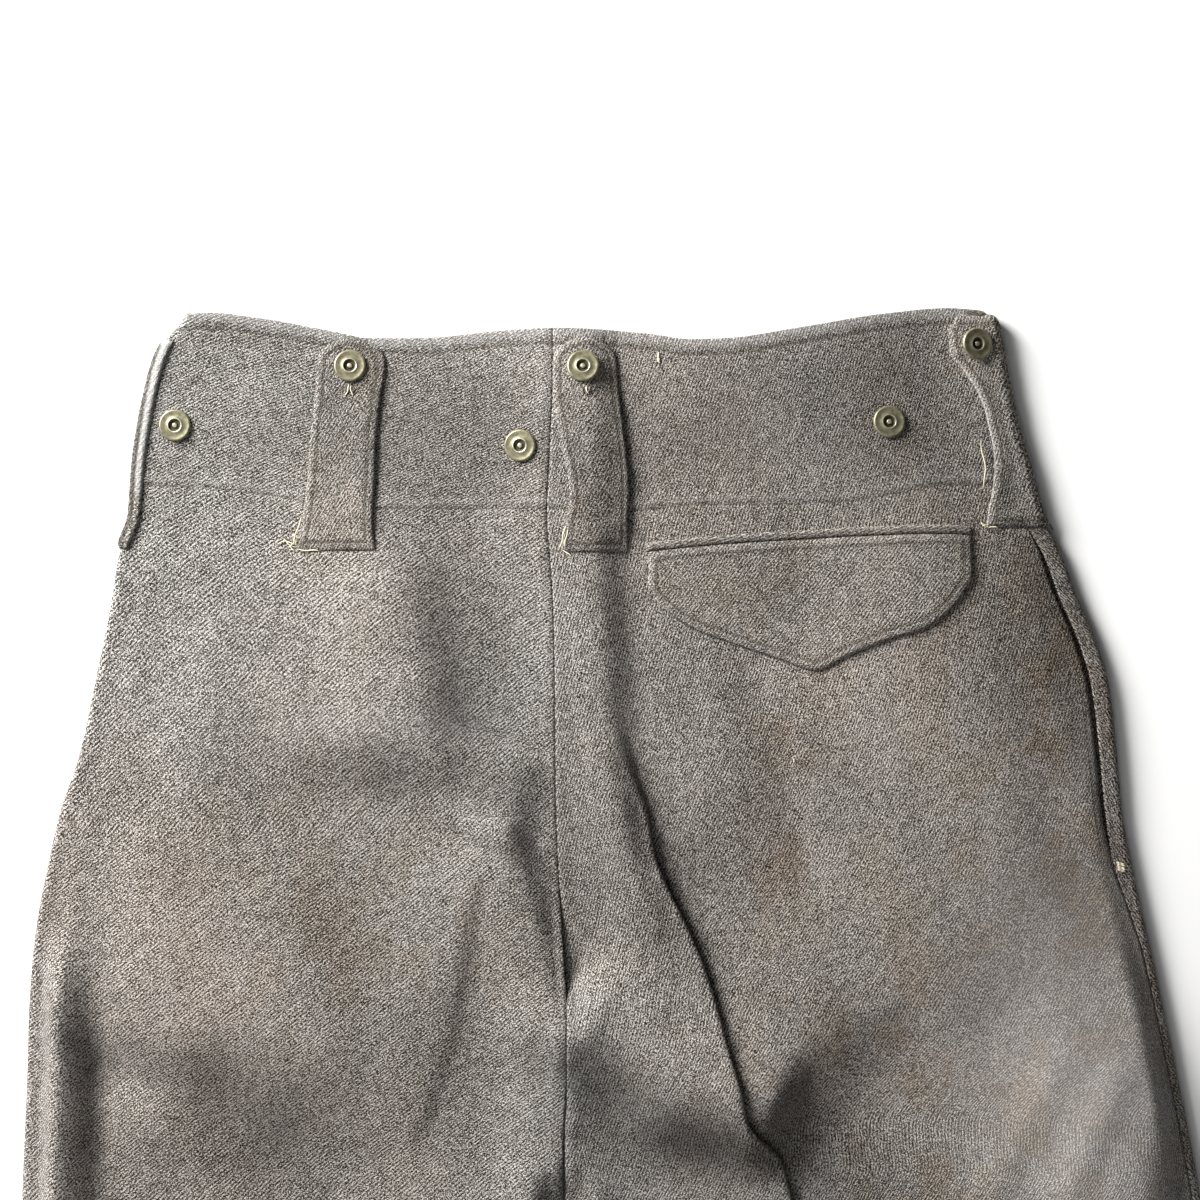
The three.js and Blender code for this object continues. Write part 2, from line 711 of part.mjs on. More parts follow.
// The four panels: which half each one is in, and its stations along a row.
const PANELS = {
  back_left: {
    half: -1,
    stations: (row) => [
      ...stationsOf("under", partsBetween(seamParts(-1, row).outer, 1, SEAM_COLUMNS), false),
      ...stationsOf("roll", partsBetween(0, 1, ROLL_COLUMNS)),
      ...stationsOf("over", partsBetween(0, 1, OVER_COLUMNS_LEFT, OVER_CROWDING)),
      ...stationsOf("overCurl", partsBetween(0, 1, CURL_COLUMNS)),
    ],
  },
  back_right: {
    half: 1,
    stations: (row) => [
      ...stationsOf(
        "over",
        partsBetween(seamParts(1, row).inner, 1, OVER_COLUMNS_RIGHT, OVER_CROWDING),
        false,
      ),
      ...stationsOf("tuck", partsBetween(0, 1, TUCK_COLUMNS)),
      ...stationsOf("lobe", partsBetween(0, 1, LOBE_COLUMNS)),
      ...stationsOf("overCurl", partsBetween(0, 1, CURL_COLUMNS)),
    ],
  },
  front_left: {
    half: -1,
    stations: (row) => [
      ...stationsOf("underCurl", partsBetween(0, 1, CURL_COLUMNS), false),
      ...stationsOf("under", partsBetween(0, seamParts(-1, row).inner, UNDER_COLUMNS)),
    ],
  },
  front_right: {
    half: 1,
    stations: (row) => [
      ...stationsOf("underCurl", partsBetween(0, 1, CURL_COLUMNS), false),
      ...stationsOf("under", partsBetween(0, 1, UNDER_COLUMNS)),
      ...stationsOf("roll", partsBetween(0, 1, ROLL_COLUMNS)),
      ...stationsOf("over", partsBetween(0, seamParts(1, row).outer, SEAM_COLUMNS)),
    ],
  },
};

/** Volume inside a closed geometry, negative where its faces point inwards. */
function signedVolume(positions, index) {
  let volume = 0;
  for (let i = 0; i < index.length; i += 3) {
    const [a, b, c] = [0, 1, 2].map((k) => positions[index[i + k]]);
    volume += a.dot(b.clone().cross(c)) / 6;
  }
  return volume;
}

/** A closed wall of even thickness through a grid of places, each a row of the same length. */
function wallGeometry(grid, thickness) {
  const columns = grid[0].length;
  const rows = grid.length;
  const side = (sign) =>
    grid.flat().map(({ point, outward }) => point.clone().addScaledVector(outward, sign * thickness));
  const positions = [...side(0.5), ...side(-0.5)];
  const back = rows * columns;
  const at = (row, column) => row * columns + column;
  const index = [];
  const quad = (a, b, c, d) => index.push(a, b, c, a, c, d);
  for (let r = 0; r < rows - 1; r += 1) {
    for (let c = 0; c < columns - 1; c += 1) {
      quad(at(r, c), at(r + 1, c), at(r + 1, c + 1), at(r, c + 1));
      quad(back + at(r, c), back + at(r, c + 1), back + at(r + 1, c + 1), back + at(r + 1, c));
    }
    quad(at(r, 0), back + at(r, 0), back + at(r + 1, 0), at(r + 1, 0));
    const end = columns - 1;
    quad(at(r, end), at(r + 1, end), back + at(r + 1, end), back + at(r, end));
  }
  for (let c = 0; c < columns - 1; c += 1) {
    quad(at(0, c), at(0, c + 1), back + at(0, c + 1), back + at(0, c));
    const end = rows - 1;
    quad(at(end, c), back + at(end, c), back + at(end, c + 1), at(end, c + 1));
  }
  if (signedVolume(positions, index) < 0) index.reverse();
  const geometry = new THREE.BufferGeometry().setFromPoints(positions);
  geometry.setIndex(index);
  geometry.computeVertexNormals();
  return geometry;
}

/** A named mesh with its own material. */
function namedMesh(name, geometry, color, roughness = 0.95, metalness = 0) {
  const mesh = new THREE.Mesh(
    geometry,
    new THREE.MeshStandardMaterial({ color, roughness, metalness }),
  );
  mesh.name = name;
  return mesh;
}

/** One of the four panels. */
function panelMesh(name) {
  const { half, stations } = PANELS[name];
  const grid = ROW_DEPTHS.map((row) => stations(row).map((station) => placeOn(half, station, row)));
  return namedMesh(name, wallGeometry(grid, CLOTH), SERGE);
}

/** Moves a place on the back outwards, so that a piece of some thickness lies on the cloth. */
function laidOn({ point, outward }, thickness, gap = TRIM_GAP) {
  const height = CLOTH / 2 + gap + thickness / 2;
  return { point: point.clone().addScaledVector(outward, height), outward };
}

/** Depths of a loop's rows, with the share of its width that each row has at its round end. */
function loopRows(top, bottom, width) {
  const radius = width / 2;
  const round = Array.from({ length: LOOP_ROUND_ROWS }, (_, i) => {
    const angle = ((i + 0.8) / (LOOP_ROUND_ROWS + 0.8)) * (Math.PI / 2);
    return { depth: top + radius * (1 - Math.cos(angle)), share: Math.sin(angle) };
  });
  const straight = partsBetween(top + radius, bottom, LOOP_FLAT_ROWS).map((depth) => ({
    depth,
    share: 1,
  }));
  return [...round, ...straight];
}

/** A loop that lies flat on the back. */
function flatLoopMesh(loop) {
  const grid = loopRows(loop.top, loop.bottom, loop.right - loop.left).map(({ depth, share }) => {
    const down = clamp((depth - loop.top) / (loop.bottom - loop.top), 0, 1);
    const left = loop.left + (loop.leftLow - loop.left) * down;
    const right = loop.right + (loop.rightLow - loop.right) * down;
    const middle = (left + right) / 2;
    const reach = ((right - left) / 2) * share;
    return partsBetween(middle - reach, middle + reach, LOOP_COLUMNS).map((x) =>
      laidOn(placeOnBack(loop.half, x, depth), LOOP_THICKNESS),
    );
  });
  return namedMesh(loop.name, wallGeometry(grid, LOOP_THICKNESS), SERGE_DARK);
}

/** A loop that wraps round a rolled side. */
function sideLoopMesh({ name, half, roundReach, edge }) {
  const onBack = curveThrough(edge, "depth", "onBack");
  const top = edge[0].depth;
  const bottom = edge.at(-1).depth;
  const depths = [top, ...ROW_DEPTHS.filter((row) => row > top && row < bottom), bottom];
  const grid = depths.map((row) => {
    const { flatEnd } = rowSizes(half, row);
    const roundEnd = Math.min(roundReach, Math.PI * ROLL_RADIUS);
    const past = [
      ...partsBetween(-onBack(row), 0, SIDE_LOOP_COLUMNS),
      ...partsBetween(0, roundEnd, ROLL_COLUMNS).slice(1),
      ...(roundReach > roundEnd ? [(roundEnd + roundReach) / 2, roundReach] : []),
    ];
    return past.map((distance) =>
      laidOn(placeOut(half, flatEnd + distance, row), LOOP_THICKNESS),
    );
  });
  return namedMesh(name, wallGeometry(grid, LOOP_THICKNESS), SERGE_DARK);
}

/** The flap of the hip pocket, which hangs from the welt above it. */
function flapMesh() {
  const columns = partsBetween(FLAP[0].x, FLAP.at(-1).x, FLAP_COLUMNS);
  const grid = partsBetween(0, 1, FLAP_ROWS).map((down) =>
    columns.map((x) => {
      const depth = flapUpper(x) + down * (flapLower(x) - flapUpper(x));
      return laidOn(placeOnBack(1, x, depth), FLAP_THICKNESS);
    }),
  );
  return namedMesh("hip_pocket_flap", wallGeometry(grid, FLAP_THICKNESS), SERGE);
}

/** The welt, a narrow band that the flap hangs from. */
function weltMesh() {
  const columns = partsBetween(FLAP[0].x, FLAP.at(-1).x, FLAP_COLUMNS);
  const grid = [-SEAM_GAP - WELT_HEIGHT, -SEAM_GAP].map((offset) =>
    columns.map((x) => laidOn(placeOnBack(1, x, flapUpper(x) + offset), WELT_THICKNESS)),
  );
  return namedMesh("hip_pocket_welt", wallGeometry(grid, WELT_THICKNESS), SERGE);
}

/** The strip inside the side pocket that shows through its slit. */
function facingMesh() {
  const inward = -(CLOTH / 2 + FACING_GAP + FACING_THICKNESS / 2);
  const grid = partsBetween(POCKET_TOP, POCKET_BOTTOM, FACING_ROWS).map((depth) => {
    const sizes = rowSizes(1, depth);
    const seam = seamAt(1, depth, sizes);
    return partsBetween(seam - FACING_REACH, sizes.flatEnd, FACING_COLUMNS).map((part) => {
      const { point, outward } = placeOn(1, { stretch: "lay", part, most: Infinity }, depth);
      return { point: point.clone().addScaledVector(outward, inward), outward };
    });
  });
  return namedMesh("side_pocket_facing", wallGeometry(grid, FACING_THICKNESS), SERGE_DARK);
}

/** A ring button, seated square on the cloth or loop below it, or leaning on its shank. */
function buttonMesh({ name, half, x, depth, under, lean }) {
  const profile = BUTTON_SECTION.map(({ radius, height }) => new THREE.Vector2(radius, height));
  const geometry = new THREE.LatheGeometry(profile, BUTTON_FACETS).rotateX(Math.PI / 2);
  const tilt = (lean * Math.PI) / 180;
  geometry.rotateY(tilt);
  const mesh = namedMesh(name, geometry, BRASS, BUTTON_ROUGHNESS, BUTTON_METAL);
  const { point, outward } = placeOnBack(half, x, depth);
  const stack = under ? TRIM_GAP + under : 0;
  const height = CLOTH / 2 + stack + SEAM_GAP + BUTTON_RADIUS * Math.sin(tilt);
  mesh.position.copy(point.clone().addScaledVector(outward, height));
  mesh.quaternion.setFromUnitVectors(new THREE.Vector3(0, 0, 1), outward);
  return mesh;
}

const trousers = new THREE.Group();
trousers.add(...Object.keys(PANELS).map(panelMesh));
trousers.add(...FLAT_LOOPS.map(flatLoopMesh), ...SIDE_LOOPS.map(sideLoopMesh));
trousers.add(flapMesh(), weltMesh(), facingMesh());
trousers.add(...BUTTONS.map(buttonMesh));

export default trousers;
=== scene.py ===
"""Battledress trousers in heavy wool serge, laid flat with the back upwards."""

import logging
import math
from collections.abc import Callable, Sequence
from dataclasses import dataclass, field
from enum import Enum

import bmesh
import bpy
import numpy as np
from mathutils import Matrix, Vector


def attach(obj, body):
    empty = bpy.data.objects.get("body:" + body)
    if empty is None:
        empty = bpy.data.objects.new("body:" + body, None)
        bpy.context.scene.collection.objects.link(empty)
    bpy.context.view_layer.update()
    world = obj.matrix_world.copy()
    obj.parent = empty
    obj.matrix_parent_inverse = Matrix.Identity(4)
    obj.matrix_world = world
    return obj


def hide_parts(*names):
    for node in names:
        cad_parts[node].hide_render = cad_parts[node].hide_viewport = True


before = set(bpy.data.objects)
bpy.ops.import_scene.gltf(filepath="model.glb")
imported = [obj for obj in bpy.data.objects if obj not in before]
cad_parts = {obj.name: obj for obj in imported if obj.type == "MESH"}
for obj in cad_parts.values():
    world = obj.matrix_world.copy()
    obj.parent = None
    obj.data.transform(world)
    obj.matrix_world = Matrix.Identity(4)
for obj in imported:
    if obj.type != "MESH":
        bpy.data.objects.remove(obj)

LOG = logging.getLogger("trousers")
MM = 0.001
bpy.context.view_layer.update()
BODY = "root"
UV_NAME = "weave_mm"
WEAR_NAME = "wear"
# Least share of the thickness at a rounded edge.
SHARP_EDGE = 0.2
# Half a step between the points that give a direction on the back.
NORMAL_STEP = 0.05
ROW_TRIES = 12
# How strongly the nearest stretch of a fold counts.
NEAREST = 3.0
NEAREST_POWER = -5
# Wear, painted shade and browning of the fronts.
FRONT_MARKS = (0.0, 0.2, 0.5)

Array = np.ndarray
Table = Sequence[Sequence[float]]
Spread = Callable[[Array, Array], Array]
Shade = tuple[float, float, float]
Piece = bpy.types.Object
Material = bpy.types.Material
Socket = bpy.types.NodeSocket
Inputs = dict[int | str, object]


class Half(Enum):
    """The two halves of the garment, as the sign of their side along X."""

    LEFT = -1
    RIGHT = 1


class Slot(Enum):
    """The finishes of the pieces."""

    SERGE = "trouser_serge"
    LOOP = "belt_loop_serge"
    POCKET = "pocket_serge"
    METAL = "button_metal"


def clamp(value: Array | float, low: float = 0.0, high: float = 1.0) -> Array:
    """Keeps values between two numbers."""
    return np.minimum(np.maximum(value, low), high)


def smooth(value: Array | float) -> Array:
    """Rises smoothly from 0 to 1 as its input does."""
    part = clamp(value)
    return part * part * (3 - 2 * part)


def between(value: Array, start: float, rise: float, stop: float, fall: float) -> Array:
    """Rises from 0 to 1 after a start and falls back to 0 after a stop."""
    return smooth((value - start) / rise) * (1 - smooth((value - stop) / fall))


def settled(distance: Array, span: float) -> Array:
    """How much of a raise is left at a distance from the edge that makes it."""
    return 1 - smooth(distance / span)


def bell(distance: Array | float, width: float) -> Array:
    """A bell of height 1 that is down to a third at its width."""
    return np.exp(-((distance / width) ** 2))


class Curve:
    """A smooth curve through the rows of a table, with no overshoot between them."""

    def __init__(self, rows: Table, column: int = 1) -> None:
        """Reads the input from the first column and the output from another.

        Args:
            rows: the table's rows, in order of the input.
            column: the column that holds the output.
        """
        self.xs = np.array([row[0] for row in rows], float)
        self.ys = np.array([row[column] for row in rows], float)
        rises = np.diff(self.ys) / np.diff(self.xs)
        slopes = np.empty_like(self.ys)
        slopes[0], slopes[-1] = rises[0], rises[-1]
        product = rises[:-1] * rises[1:]
        total = rises[:-1] + rises[1:]
        safe = np.where(total == 0, 1, total)
        slopes[1:-1] = np.where(product <= 0, 0, 2 * product / safe)
        self.slopes = slopes

    def __call__(self, value: Array | float) -> Array:
        """The curve's output.

        Args:
            value: inputs, held at the table's ends.

        Returns:
            the outputs, in the shape of the inputs.
        """
        x = clamp(np.asarray(value, float), self.xs[0], self.xs[-1])
        i = np.clip(np.searchsorted(self.xs, x, side="right") - 1, 0, len(self.xs) - 2)
        span = self.xs[i + 1] - self.xs[i]
        q = (x - self.xs[i]) / span
        start = self.ys[i] * (1 + 2 * q) * (1 - q) ** 2 + self.slopes[i] * span * q * (1 - q) ** 2
        end = self.ys[i + 1] * q * q * (3 - 2 * q) + self.slopes[i + 1] * span * q * q * (q - 1)
        return start + end


def unit(vectors: Array) -> Array:
    """Vectors along the last axis, scaled to length 1."""
    length = np.linalg.norm(vectors, axis=-1, keepdims=True)
    return vectors / np.maximum(length, 1e-12)


def spaced(start: float, stop: float, count: int, crowding: float = 1.0) -> Array:
    """Numbers from start to stop, closer to the first where crowding is above 1."""
    return start + (stop - start) * np.linspace(0, 1, count + 1) ** crowding


def crowded(count: int, near: float) -> Array:
    """Parts from 0 to 1 that are closer together at both ends, by near from 0 to 1."""
    even = np.linspace(0, 1, count + 1)
    return even - near * np.sin(2 * np.pi * even) / (2 * np.pi)


# Outline of the laid garment by depth below the waist's highest point, in millimetres: left side,
# left inner edge, right inner edge, right side. The inner edges are the centre seam down to the
# crotch and the inner legs below it.
OUTLINE = (
    (0, -234, -39, -39, 189),
    (6, -237, -39, -39, 196),
    (14, -244, -39, -39, 198),
    (32, -251, -39, -39, 201),
    (60, -257, -40, -40, 206.7),
    (85, -260.3, -41, -41, 213.7),
    (110, -262.2, -42, -42, 220.7),
    (130, -269, -40.5, -40.5, 231),
    (152, -272.8, -39, -39, 239),
    (175, -277.4, -38.2, -38.2, 249),
    (200, -282.7, -37.8, -37.8, 256.4),
    (236, -290.4, -37.5, -37.5, 260.7),
    (270, -301.6, -37, -37, 263.8),
    (297, -307.6, -36, -36, 268.9),
    (323, -312.7, -34.5, -34.5, 274.6),
    (348, -315.8, -32.8, -32.8, 280.2),
    (378, -317.6, -31.4, -31.4, 286.7),
    (408, -318.4, -31.4, -31.4, 292.8),
    (440, -319.8, -33, -33, 299.2),
    (478, -321.2, -33, -33, 306),
    (520, -321.5, -36, -20, 312.6),
    (600, -320.4, -43, 4, 318.9),
    (700, -315.5, -50, 29, 321.5),
    (850, -304, -56, 55, 318.5),
    (1000, -292, -59, 73, 309.5),
    (1120, -283, -60, 82, 301),
)
# How far the waist edge dips below its highest point, by x.
WAIST_EDGE = (
    (-234, 3),
    (-221, 2.5),
    (-196, 5),
    (-156, 12),
    (-136, 15.6),
    (-112, 15.6),
    (-62, 11.4),
    (-40, 10.4),
    (-17, 11),
    (11, 13.2),
    (34, 16.3),
    (53, 15.9),
    (91, 10.6),
    (138, 2.9),
    (170, 0),
    (192, 1.6),
)
# Depth of the stitched line that holds the waist facing, by x.
FACING_LINE = (
    (-262, 93),
    (-233, 94.3),
    (-197, 97.5),
    (-169, 101.8),
    (-129, 105.8),
    (-41, 105.8),
    (1, 106.5),
    (39, 103.4),
    (106, 102.8),
    (124, 101.8),
    (145, 97.5),
    (167, 93.8),
    (215, 93.3),
)
# How far in from the right side's outline the side seam lies, by depth.
RIGHT_SEAM_INSET = (
    (0, 11),
    (291, 11),
    (318, 7.5),
    (345, 4.9),
    (1120, 4.9),
)
# The tucked fold by depth: x of its crest, turn of the cloth in degrees, and depth of the tuck.
TUCK = (
    (0, -8, 0, 3),
    (215, -6, 0, 3),
    (240, 0, 40, 3),
    (267, 10, 80, 3),
    (289, 14, 115, 3),
    (309, 22, 145, 4),
    (325, 30, 165, 6),
    (348, 40, 180, 9),
    (368, 46.4, 180, 12),
    (390, 52.3, 180, 15),
    (411, 58.6, 180, 17),
    (428, 62.5, 180, 19),
    (451, 80.9, 180, 20),
    (470, 86, 180, 21),
    (520, 100, 180, 18),
    (580, 117, 160, 8),
    (640, 131, 110, 4),
    (700, 142, 50, 3),
    (760, 150, 0, 3),
    (1120, 176, 0, 3),
)


@dataclass(frozen=True)
class Crease:
    """A fold of the top layer with its own fall on each side of the way it runs."""

    path: tuple[tuple[float, float], ...]
    left: float
    right: float
    height: float
    taper: float = 30.0

    def raised(self, x: Array, depth: Array) -> Array:
        """Height that the fold adds.

        Args:
            x: places across the garment.
            depth: depths of the same places.

        Returns:
            heights in millimetres.
        """
        height = np.zeros(x.shape)
        weight = np.zeros(x.shape)
        lengths = [math.dist(a, b) for a, b in zip(self.path, self.path[1:])]
        total = sum(lengths)
        done = 0.0
        for (x1, d1), (x2, d2), length in zip(self.path, self.path[1:], lengths):
            ux, ud = (x2 - x1) / length, (d2 - d1) / length
            along = (x - x1) * ux + (depth - d1) * ud
            inside = clamp(along, 0, length)
            ax, ad = x - x1 - ux * inside, depth - d1 - ud * inside
            away = np.hypot(ax, ad)
            lean = (ax * ud - ad * ux) / np.maximum(away, 1e-6)
            side = (self.left + self.right) / 2 + lean * (self.left - self.right) / 2
            from_end = np.minimum(done + along, total - done - along)
            end = smooth(from_end / self.taper + 0.5)
            share = (away + NEAREST) ** NEAREST_POWER
            height += share * self.height * (1 - smooth(away / side)) * end
            weight += share
            done += length
        return height / weight


@dataclass(frozen=True)
class Bulge:
    """A soft rise of the top layer over trapped air."""

    x: float
    depth: float
    across: float
    down: float
    height: float

    def raised(self, x: Array, depth: Array) -> Array:
        """Height that the bulge adds at some places, in millimetres."""
        away = np.hypot((x - self.x) / self.across, (depth - self.depth) / self.down)
        return self.height * (1 - smooth(away))


# Main folds of the top layer. Each falls over its first width on the left-hand side of the way it
# runs, down the garment or across it, and over its second width on the right-hand side.
CREASES = (
    # The upper dome of the left seat: its fall to the right and its lower edge.
    Crease(((-160, 118), (-138, 140), (-119, 176), (-107, 236)), 62, 110, 8.0, 90),
    Crease(((-120, 140), (-110, 196), (-103, 240)), 28, 60, 6.0, 60),
    Crease(((-170, 222), (-136, 228), (-104, 232), (-70, 246)), 80, 34, 4.5, 70),
    # The lower dome: its lower edge, the ridge below that and the trough along the side.
    Crease(((-292, 372), (-262, 380), (-232, 390), (-200, 404), (-160, 430)), 120, 30, 8.0, 80),
    Crease(((-258, 412), (-220, 450), (-204, 490), (-194, 570)), 56, 40, 12.0, 50),
    Crease(((-306, 340), (-302, 400), (-302, 560)), 25, 12, 13.0, 50),
    # The wedge beside the centre seam and the thin crease that runs down from it.
    Crease(((-57, 236), (-64, 260), (-72, 282)), 26, 60, 6.5, 14),
    Crease(((-66, 276), (-53, 314), (-43, 346), (-38, 392)), 16, 36, 7.0, 30),
    Crease(((-82, 300), (-97, 384), (-114, 440)), 10, 40, 2.6, 40),
    # The centre back, which falls to the right into the tucked fold.
    Crease(((-24, 0), (-19, 117), (-14, 190), (-12, 245), (-6, 280)), 20, 60, 6.5, 60),
    Crease(((-5, 258), (2, 296), (16, 332)), 13, 26, 3.0, 30),
    # The hollow at the foot of the tucked fold: the seam's ridge and the fold's own lower edge.
    Crease(((-36, 366), (-34, 430), (-36, 500)), 34, 50, 6.0, 40),
    Crease(((-28, 374), (-6, 386), (28, 410), (80, 430)), 60, 42, 17.0, 24),
    # The arch on the right of the seat and the lit side of the thigh.
    Crease(((62, 434), (85, 400), (111, 372), (151, 354), (184, 364)), 110, 46, 8.0, 60),
    Crease(((290, 350), (276, 428), (267, 479), (259, 540)), 32, 76, 10.0, 120),
    Crease(((186, 480), (228, 396)), 15, 15, 2.0, 40),
    Crease(((226, 480), (262, 396)), 15, 15, 2.0, 40),
    # The right side of the waist falls to the side seam; soft folds below the flap.
    Crease(((96, -20), (112, 90), (160, 190), (205, 300), (236, 420), (244, 560)), 100, 110, 8.0, 100),
    Crease(((24, 192), (42, 230)), 14, 16, -1.2, 30),
    Crease(((60, 190), (76, 228), (100, 308)), 18, 20, -1.8, 40),
    # The legs.
    Crease(((-205, 560), (-172, 900)), 60, 60, 5.0, 80),
    Crease(((188, 600), (200, 980)), 60, 60, 5.0, 80),
    Crease(((-120, 500), (-138, 640)), 40, 40, 3.4, 40),
    Crease(((-245, 690), (-126, 780)), 40, 30, 3.4, 40),
    Crease(((120, 820), (240, 900)), 40, 30, 3.0, 40),
    Crease(((-270, 900), (-120, 1000)), 36, 50, 3.0, 40),
    Crease(((110, 1010), (250, 960)), 40, 36, 3.0, 40),
)
BULGES = (
    Bulge(-190, 185, 110, 95, 3.0),
    Bulge(-190, 320, 160, 120, 3.0),
    Bulge(150, 290, 160, 130, 2.0),
)


def outline_curves() -> dict[str, Curve]:
    """The four upright edges of the two halves, by name."""
    return {name: Curve(OUTLINE, i + 1) for i, name in enumerate(("left", "left_in", "right_in", "right"))}


@dataclass(frozen=True)
class Garment:
    """The laid trousers as sections across them, in millimetres.

    Each half is one flattened tube. A row at a given depth starts at the inner edge, runs
    outwards under the garment, turns round the rolled side and comes back over the top.
    """

    length: float = 1120.0
    crotch_depth: float = 478.0
    cloth: float = 2.0
    seam_gap: float = 0.3
    layer_gap: float = 0.6
    roll_radius: float = 3.0
    fork_length: float = 40.0
    settle_span: float = 45.0
    relief_margin: float = 16.0
    waist_fade: float = 120.0
    loft: float = 5.5
    loft_start: float = -20.0
    loft_full: float = 70.0
    loft_fade: float = 520.0
    loft_end: float = 720.0
    loft_lost: float = 0.6
    loft_edge: float = 70.0
    ripple_height: float = 0.16
    tuck_radius: float = 1.9
    shortest_bend: float = 3.0
    bend_share: float = 0.4
    ramp_margin: float = 6.0
    smallest_turn: float = 0.01
    right_seam_inset: Curve = Curve(RIGHT_SEAM_INSET)
    left_seam_inset: float = 14.0
    pocket_top: float = 122.0
    pocket_bottom: float = 291.0
    pocket_open: float = 1.1
    pocket_even: float = 0.8
    loop_thickness: float = 2.4
    trim_gap: float = 0.5
    lift_reach: float = 22.0
    lift_margin: float = 14.0
    lift_taper: float = 40.0
    lift_top: float = 12.0
    lift_bottom: float = 134.0
    sides: dict[str, Curve] = field(default_factory=outline_curves)
    waist: Curve = Curve(WAIST_EDGE)
    facing_line: Curve = Curve(FACING_LINE)
    tuck_curves: tuple[Curve, Curve, Curve] = (Curve(TUCK, 1), Curve(TUCK, 2), Curve(TUCK, 3))

    @property
    def lie(self) -> float:
        """Height at mid-thickness of the back where it is flat on the front."""
        return self.cloth * 1.5 + self.layer_gap

    def relief(self, x: Array, depth: Array) -> Array:
        """Height of the top layer above where it would lie flat.

        Args:
            x: places across the garment.
            depth: depths of the same places.

        Returns:
            heights in millimetres, never below 0.
        """
        inside = np.minimum(x - self.sides["left"](depth), self.sides["right"](depth) - x)
        down = smooth((depth - self.loft_start) / (self.loft_full - self.loft_start))
        fade = smooth((depth - self.loft_fade) / (self.loft_end - self.loft_fade))
        height = self.loft * (down * (1 - self.loft_lost * fade)) * smooth(inside / self.loft_edge)
        for fold in (*CREASES, *BULGES):
            height = height + fold.raised(x, depth)
        ripple = (
            np.sin(x / 9.1 + depth / 23.0 + 1.3) * np.sin(depth / 13.7 - x / 31.0)
            + np.sin(x / 17.3 - depth / 11.9 + 0.4) * np.sin(x / 7.9 + depth / 29.0 + 2.0)
        )
        rest = smooth((depth - 6) / 30)
        return np.maximum(height, 0) + self.ripple_height * (1 + ripple) * rest

    def row_sizes(self, half: Half, row: Array) -> dict[str, Array]:
        """Sizes of one half at some rows.

        Args:
            half: which half.
            row: depths of the rows.

        Returns:
            named sizes, each in the shape of the rows.
        """
        names = ("left_in", "left") if half is Half.LEFT else ("right_in", "right")
        inner, outer = (self.sides[name](row) for name in names)
        rise = smooth((row - self.crotch_depth + self.fork_length) / self.fork_length)
        curl = np.maximum(math.pi / 2 * rise, self.smallest_turn)
        radius = self.roll_radius * math.pi / 2 / curl
        drop = radius * (1 - np.cos(curl))
        gap = self.seam_gap + (self.layer_gap - self.seam_gap) * np.cos(curl)
        return {
            "inner": inner,
            "curl": curl,
            "radius": radius,
            "flat_start": self.seam_gap / 2 + (self.cloth / 2 + radius) * np.sin(curl),
            "flat_end": np.abs(outer - inner) - self.cloth / 2 - self.roll_radius,
            "raise": 2 * drop + self.cloth * np.cos(curl) + gap - (self.lie - self.cloth / 2),
        }

    def loop_lift(self, half: Half, from_roll: Array, row: Array, reach: float) -> Array:
        """Lift of the left side over the loop that is folded under it."""
        if half is Half.RIGHT:
            return np.zeros(np.broadcast(from_roll, row).shape)
        taper = self.lift_taper
        ends = between(row, self.lift_top - taper, taper, self.lift_bottom, taper)
        return (self.loop_thickness + self.trim_gap) * (1 - smooth((from_roll - reach) / taper)) * ends

    def under_height(self, half: Half, out: Array, row: Array, sizes: dict[str, Array]) -> Array:
        """Height at mid-thickness of the bottom layer."""
        return self.cloth / 2 + self.loop_lift(half, sizes["flat_end"] - out, row, self.lift_reach)

    def over_height(self, half: Half, out: Array, row: Array, sizes: dict[str, Array]) -> Array:
        """Height at mid-thickness of the top layer, without the tucked fold.

        Args:
            half: which half.
            out: distances out from the inner edge.
            row: depths of the rows.
            sizes: the sizes of those rows.

        Returns:
            heights in millimetres.
        """
        from_roll = sizes["flat_end"] - out
        from_inner = out - sizes["flat_start"]
        roll_raise = self.cloth / 2 + 2 * self.roll_radius - self.lie
        curled = 1 - np.cos(sizes["curl"])
        inner = settled(from_inner, self.settle_span)
        fixed = settled(from_inner, self.relief_margin)
        freedom = smooth(from_roll / self.relief_margin) * (1 - curled * fixed)
        x = sizes["inner"] + half.value * out
        return (
            self.lie
            + self.loop_lift(half, from_roll, row, self.lift_reach + self.lift_margin)
            + roll_raise * settled(from_roll, self.settle_span)
            + sizes["raise"] * inner
            + self.relief(x, row + 0 * x) * freedom
        )

    def tuck_sizes(self, row: Array, sizes: dict[str, Array]) -> dict[str, Array]:
        """Shape of the tucked fold at some rows.

        Args:
            row: depths of the rows.
            sizes: the sizes of those rows.

        Returns:
            named sizes, each in the shape of the rows.
        """
        crest_x, turn_degrees, tuck = (curve(row) for curve in self.tuck_curves)
        turn = np.maximum(np.radians(turn_degrees), self.smallest_turn)
        bend = np.maximum(self.tuck_radius * turn, self.shortest_bend)
        radius = bend / turn
        start = np.abs(crest_x - sizes["inner"]) - radius * np.sin(np.minimum(turn, math.pi / 2))
        return {
            "turn": turn,
            "bend": bend,
            "radius": radius,
            "tuck": tuck,
            "start": start,
            "end": start + 2 * radius * np.sin(turn) + tuck * np.cos(turn),
            "drop": 2 * radius * (1 - np.cos(turn)) + tuck * np.sin(turn),
        }

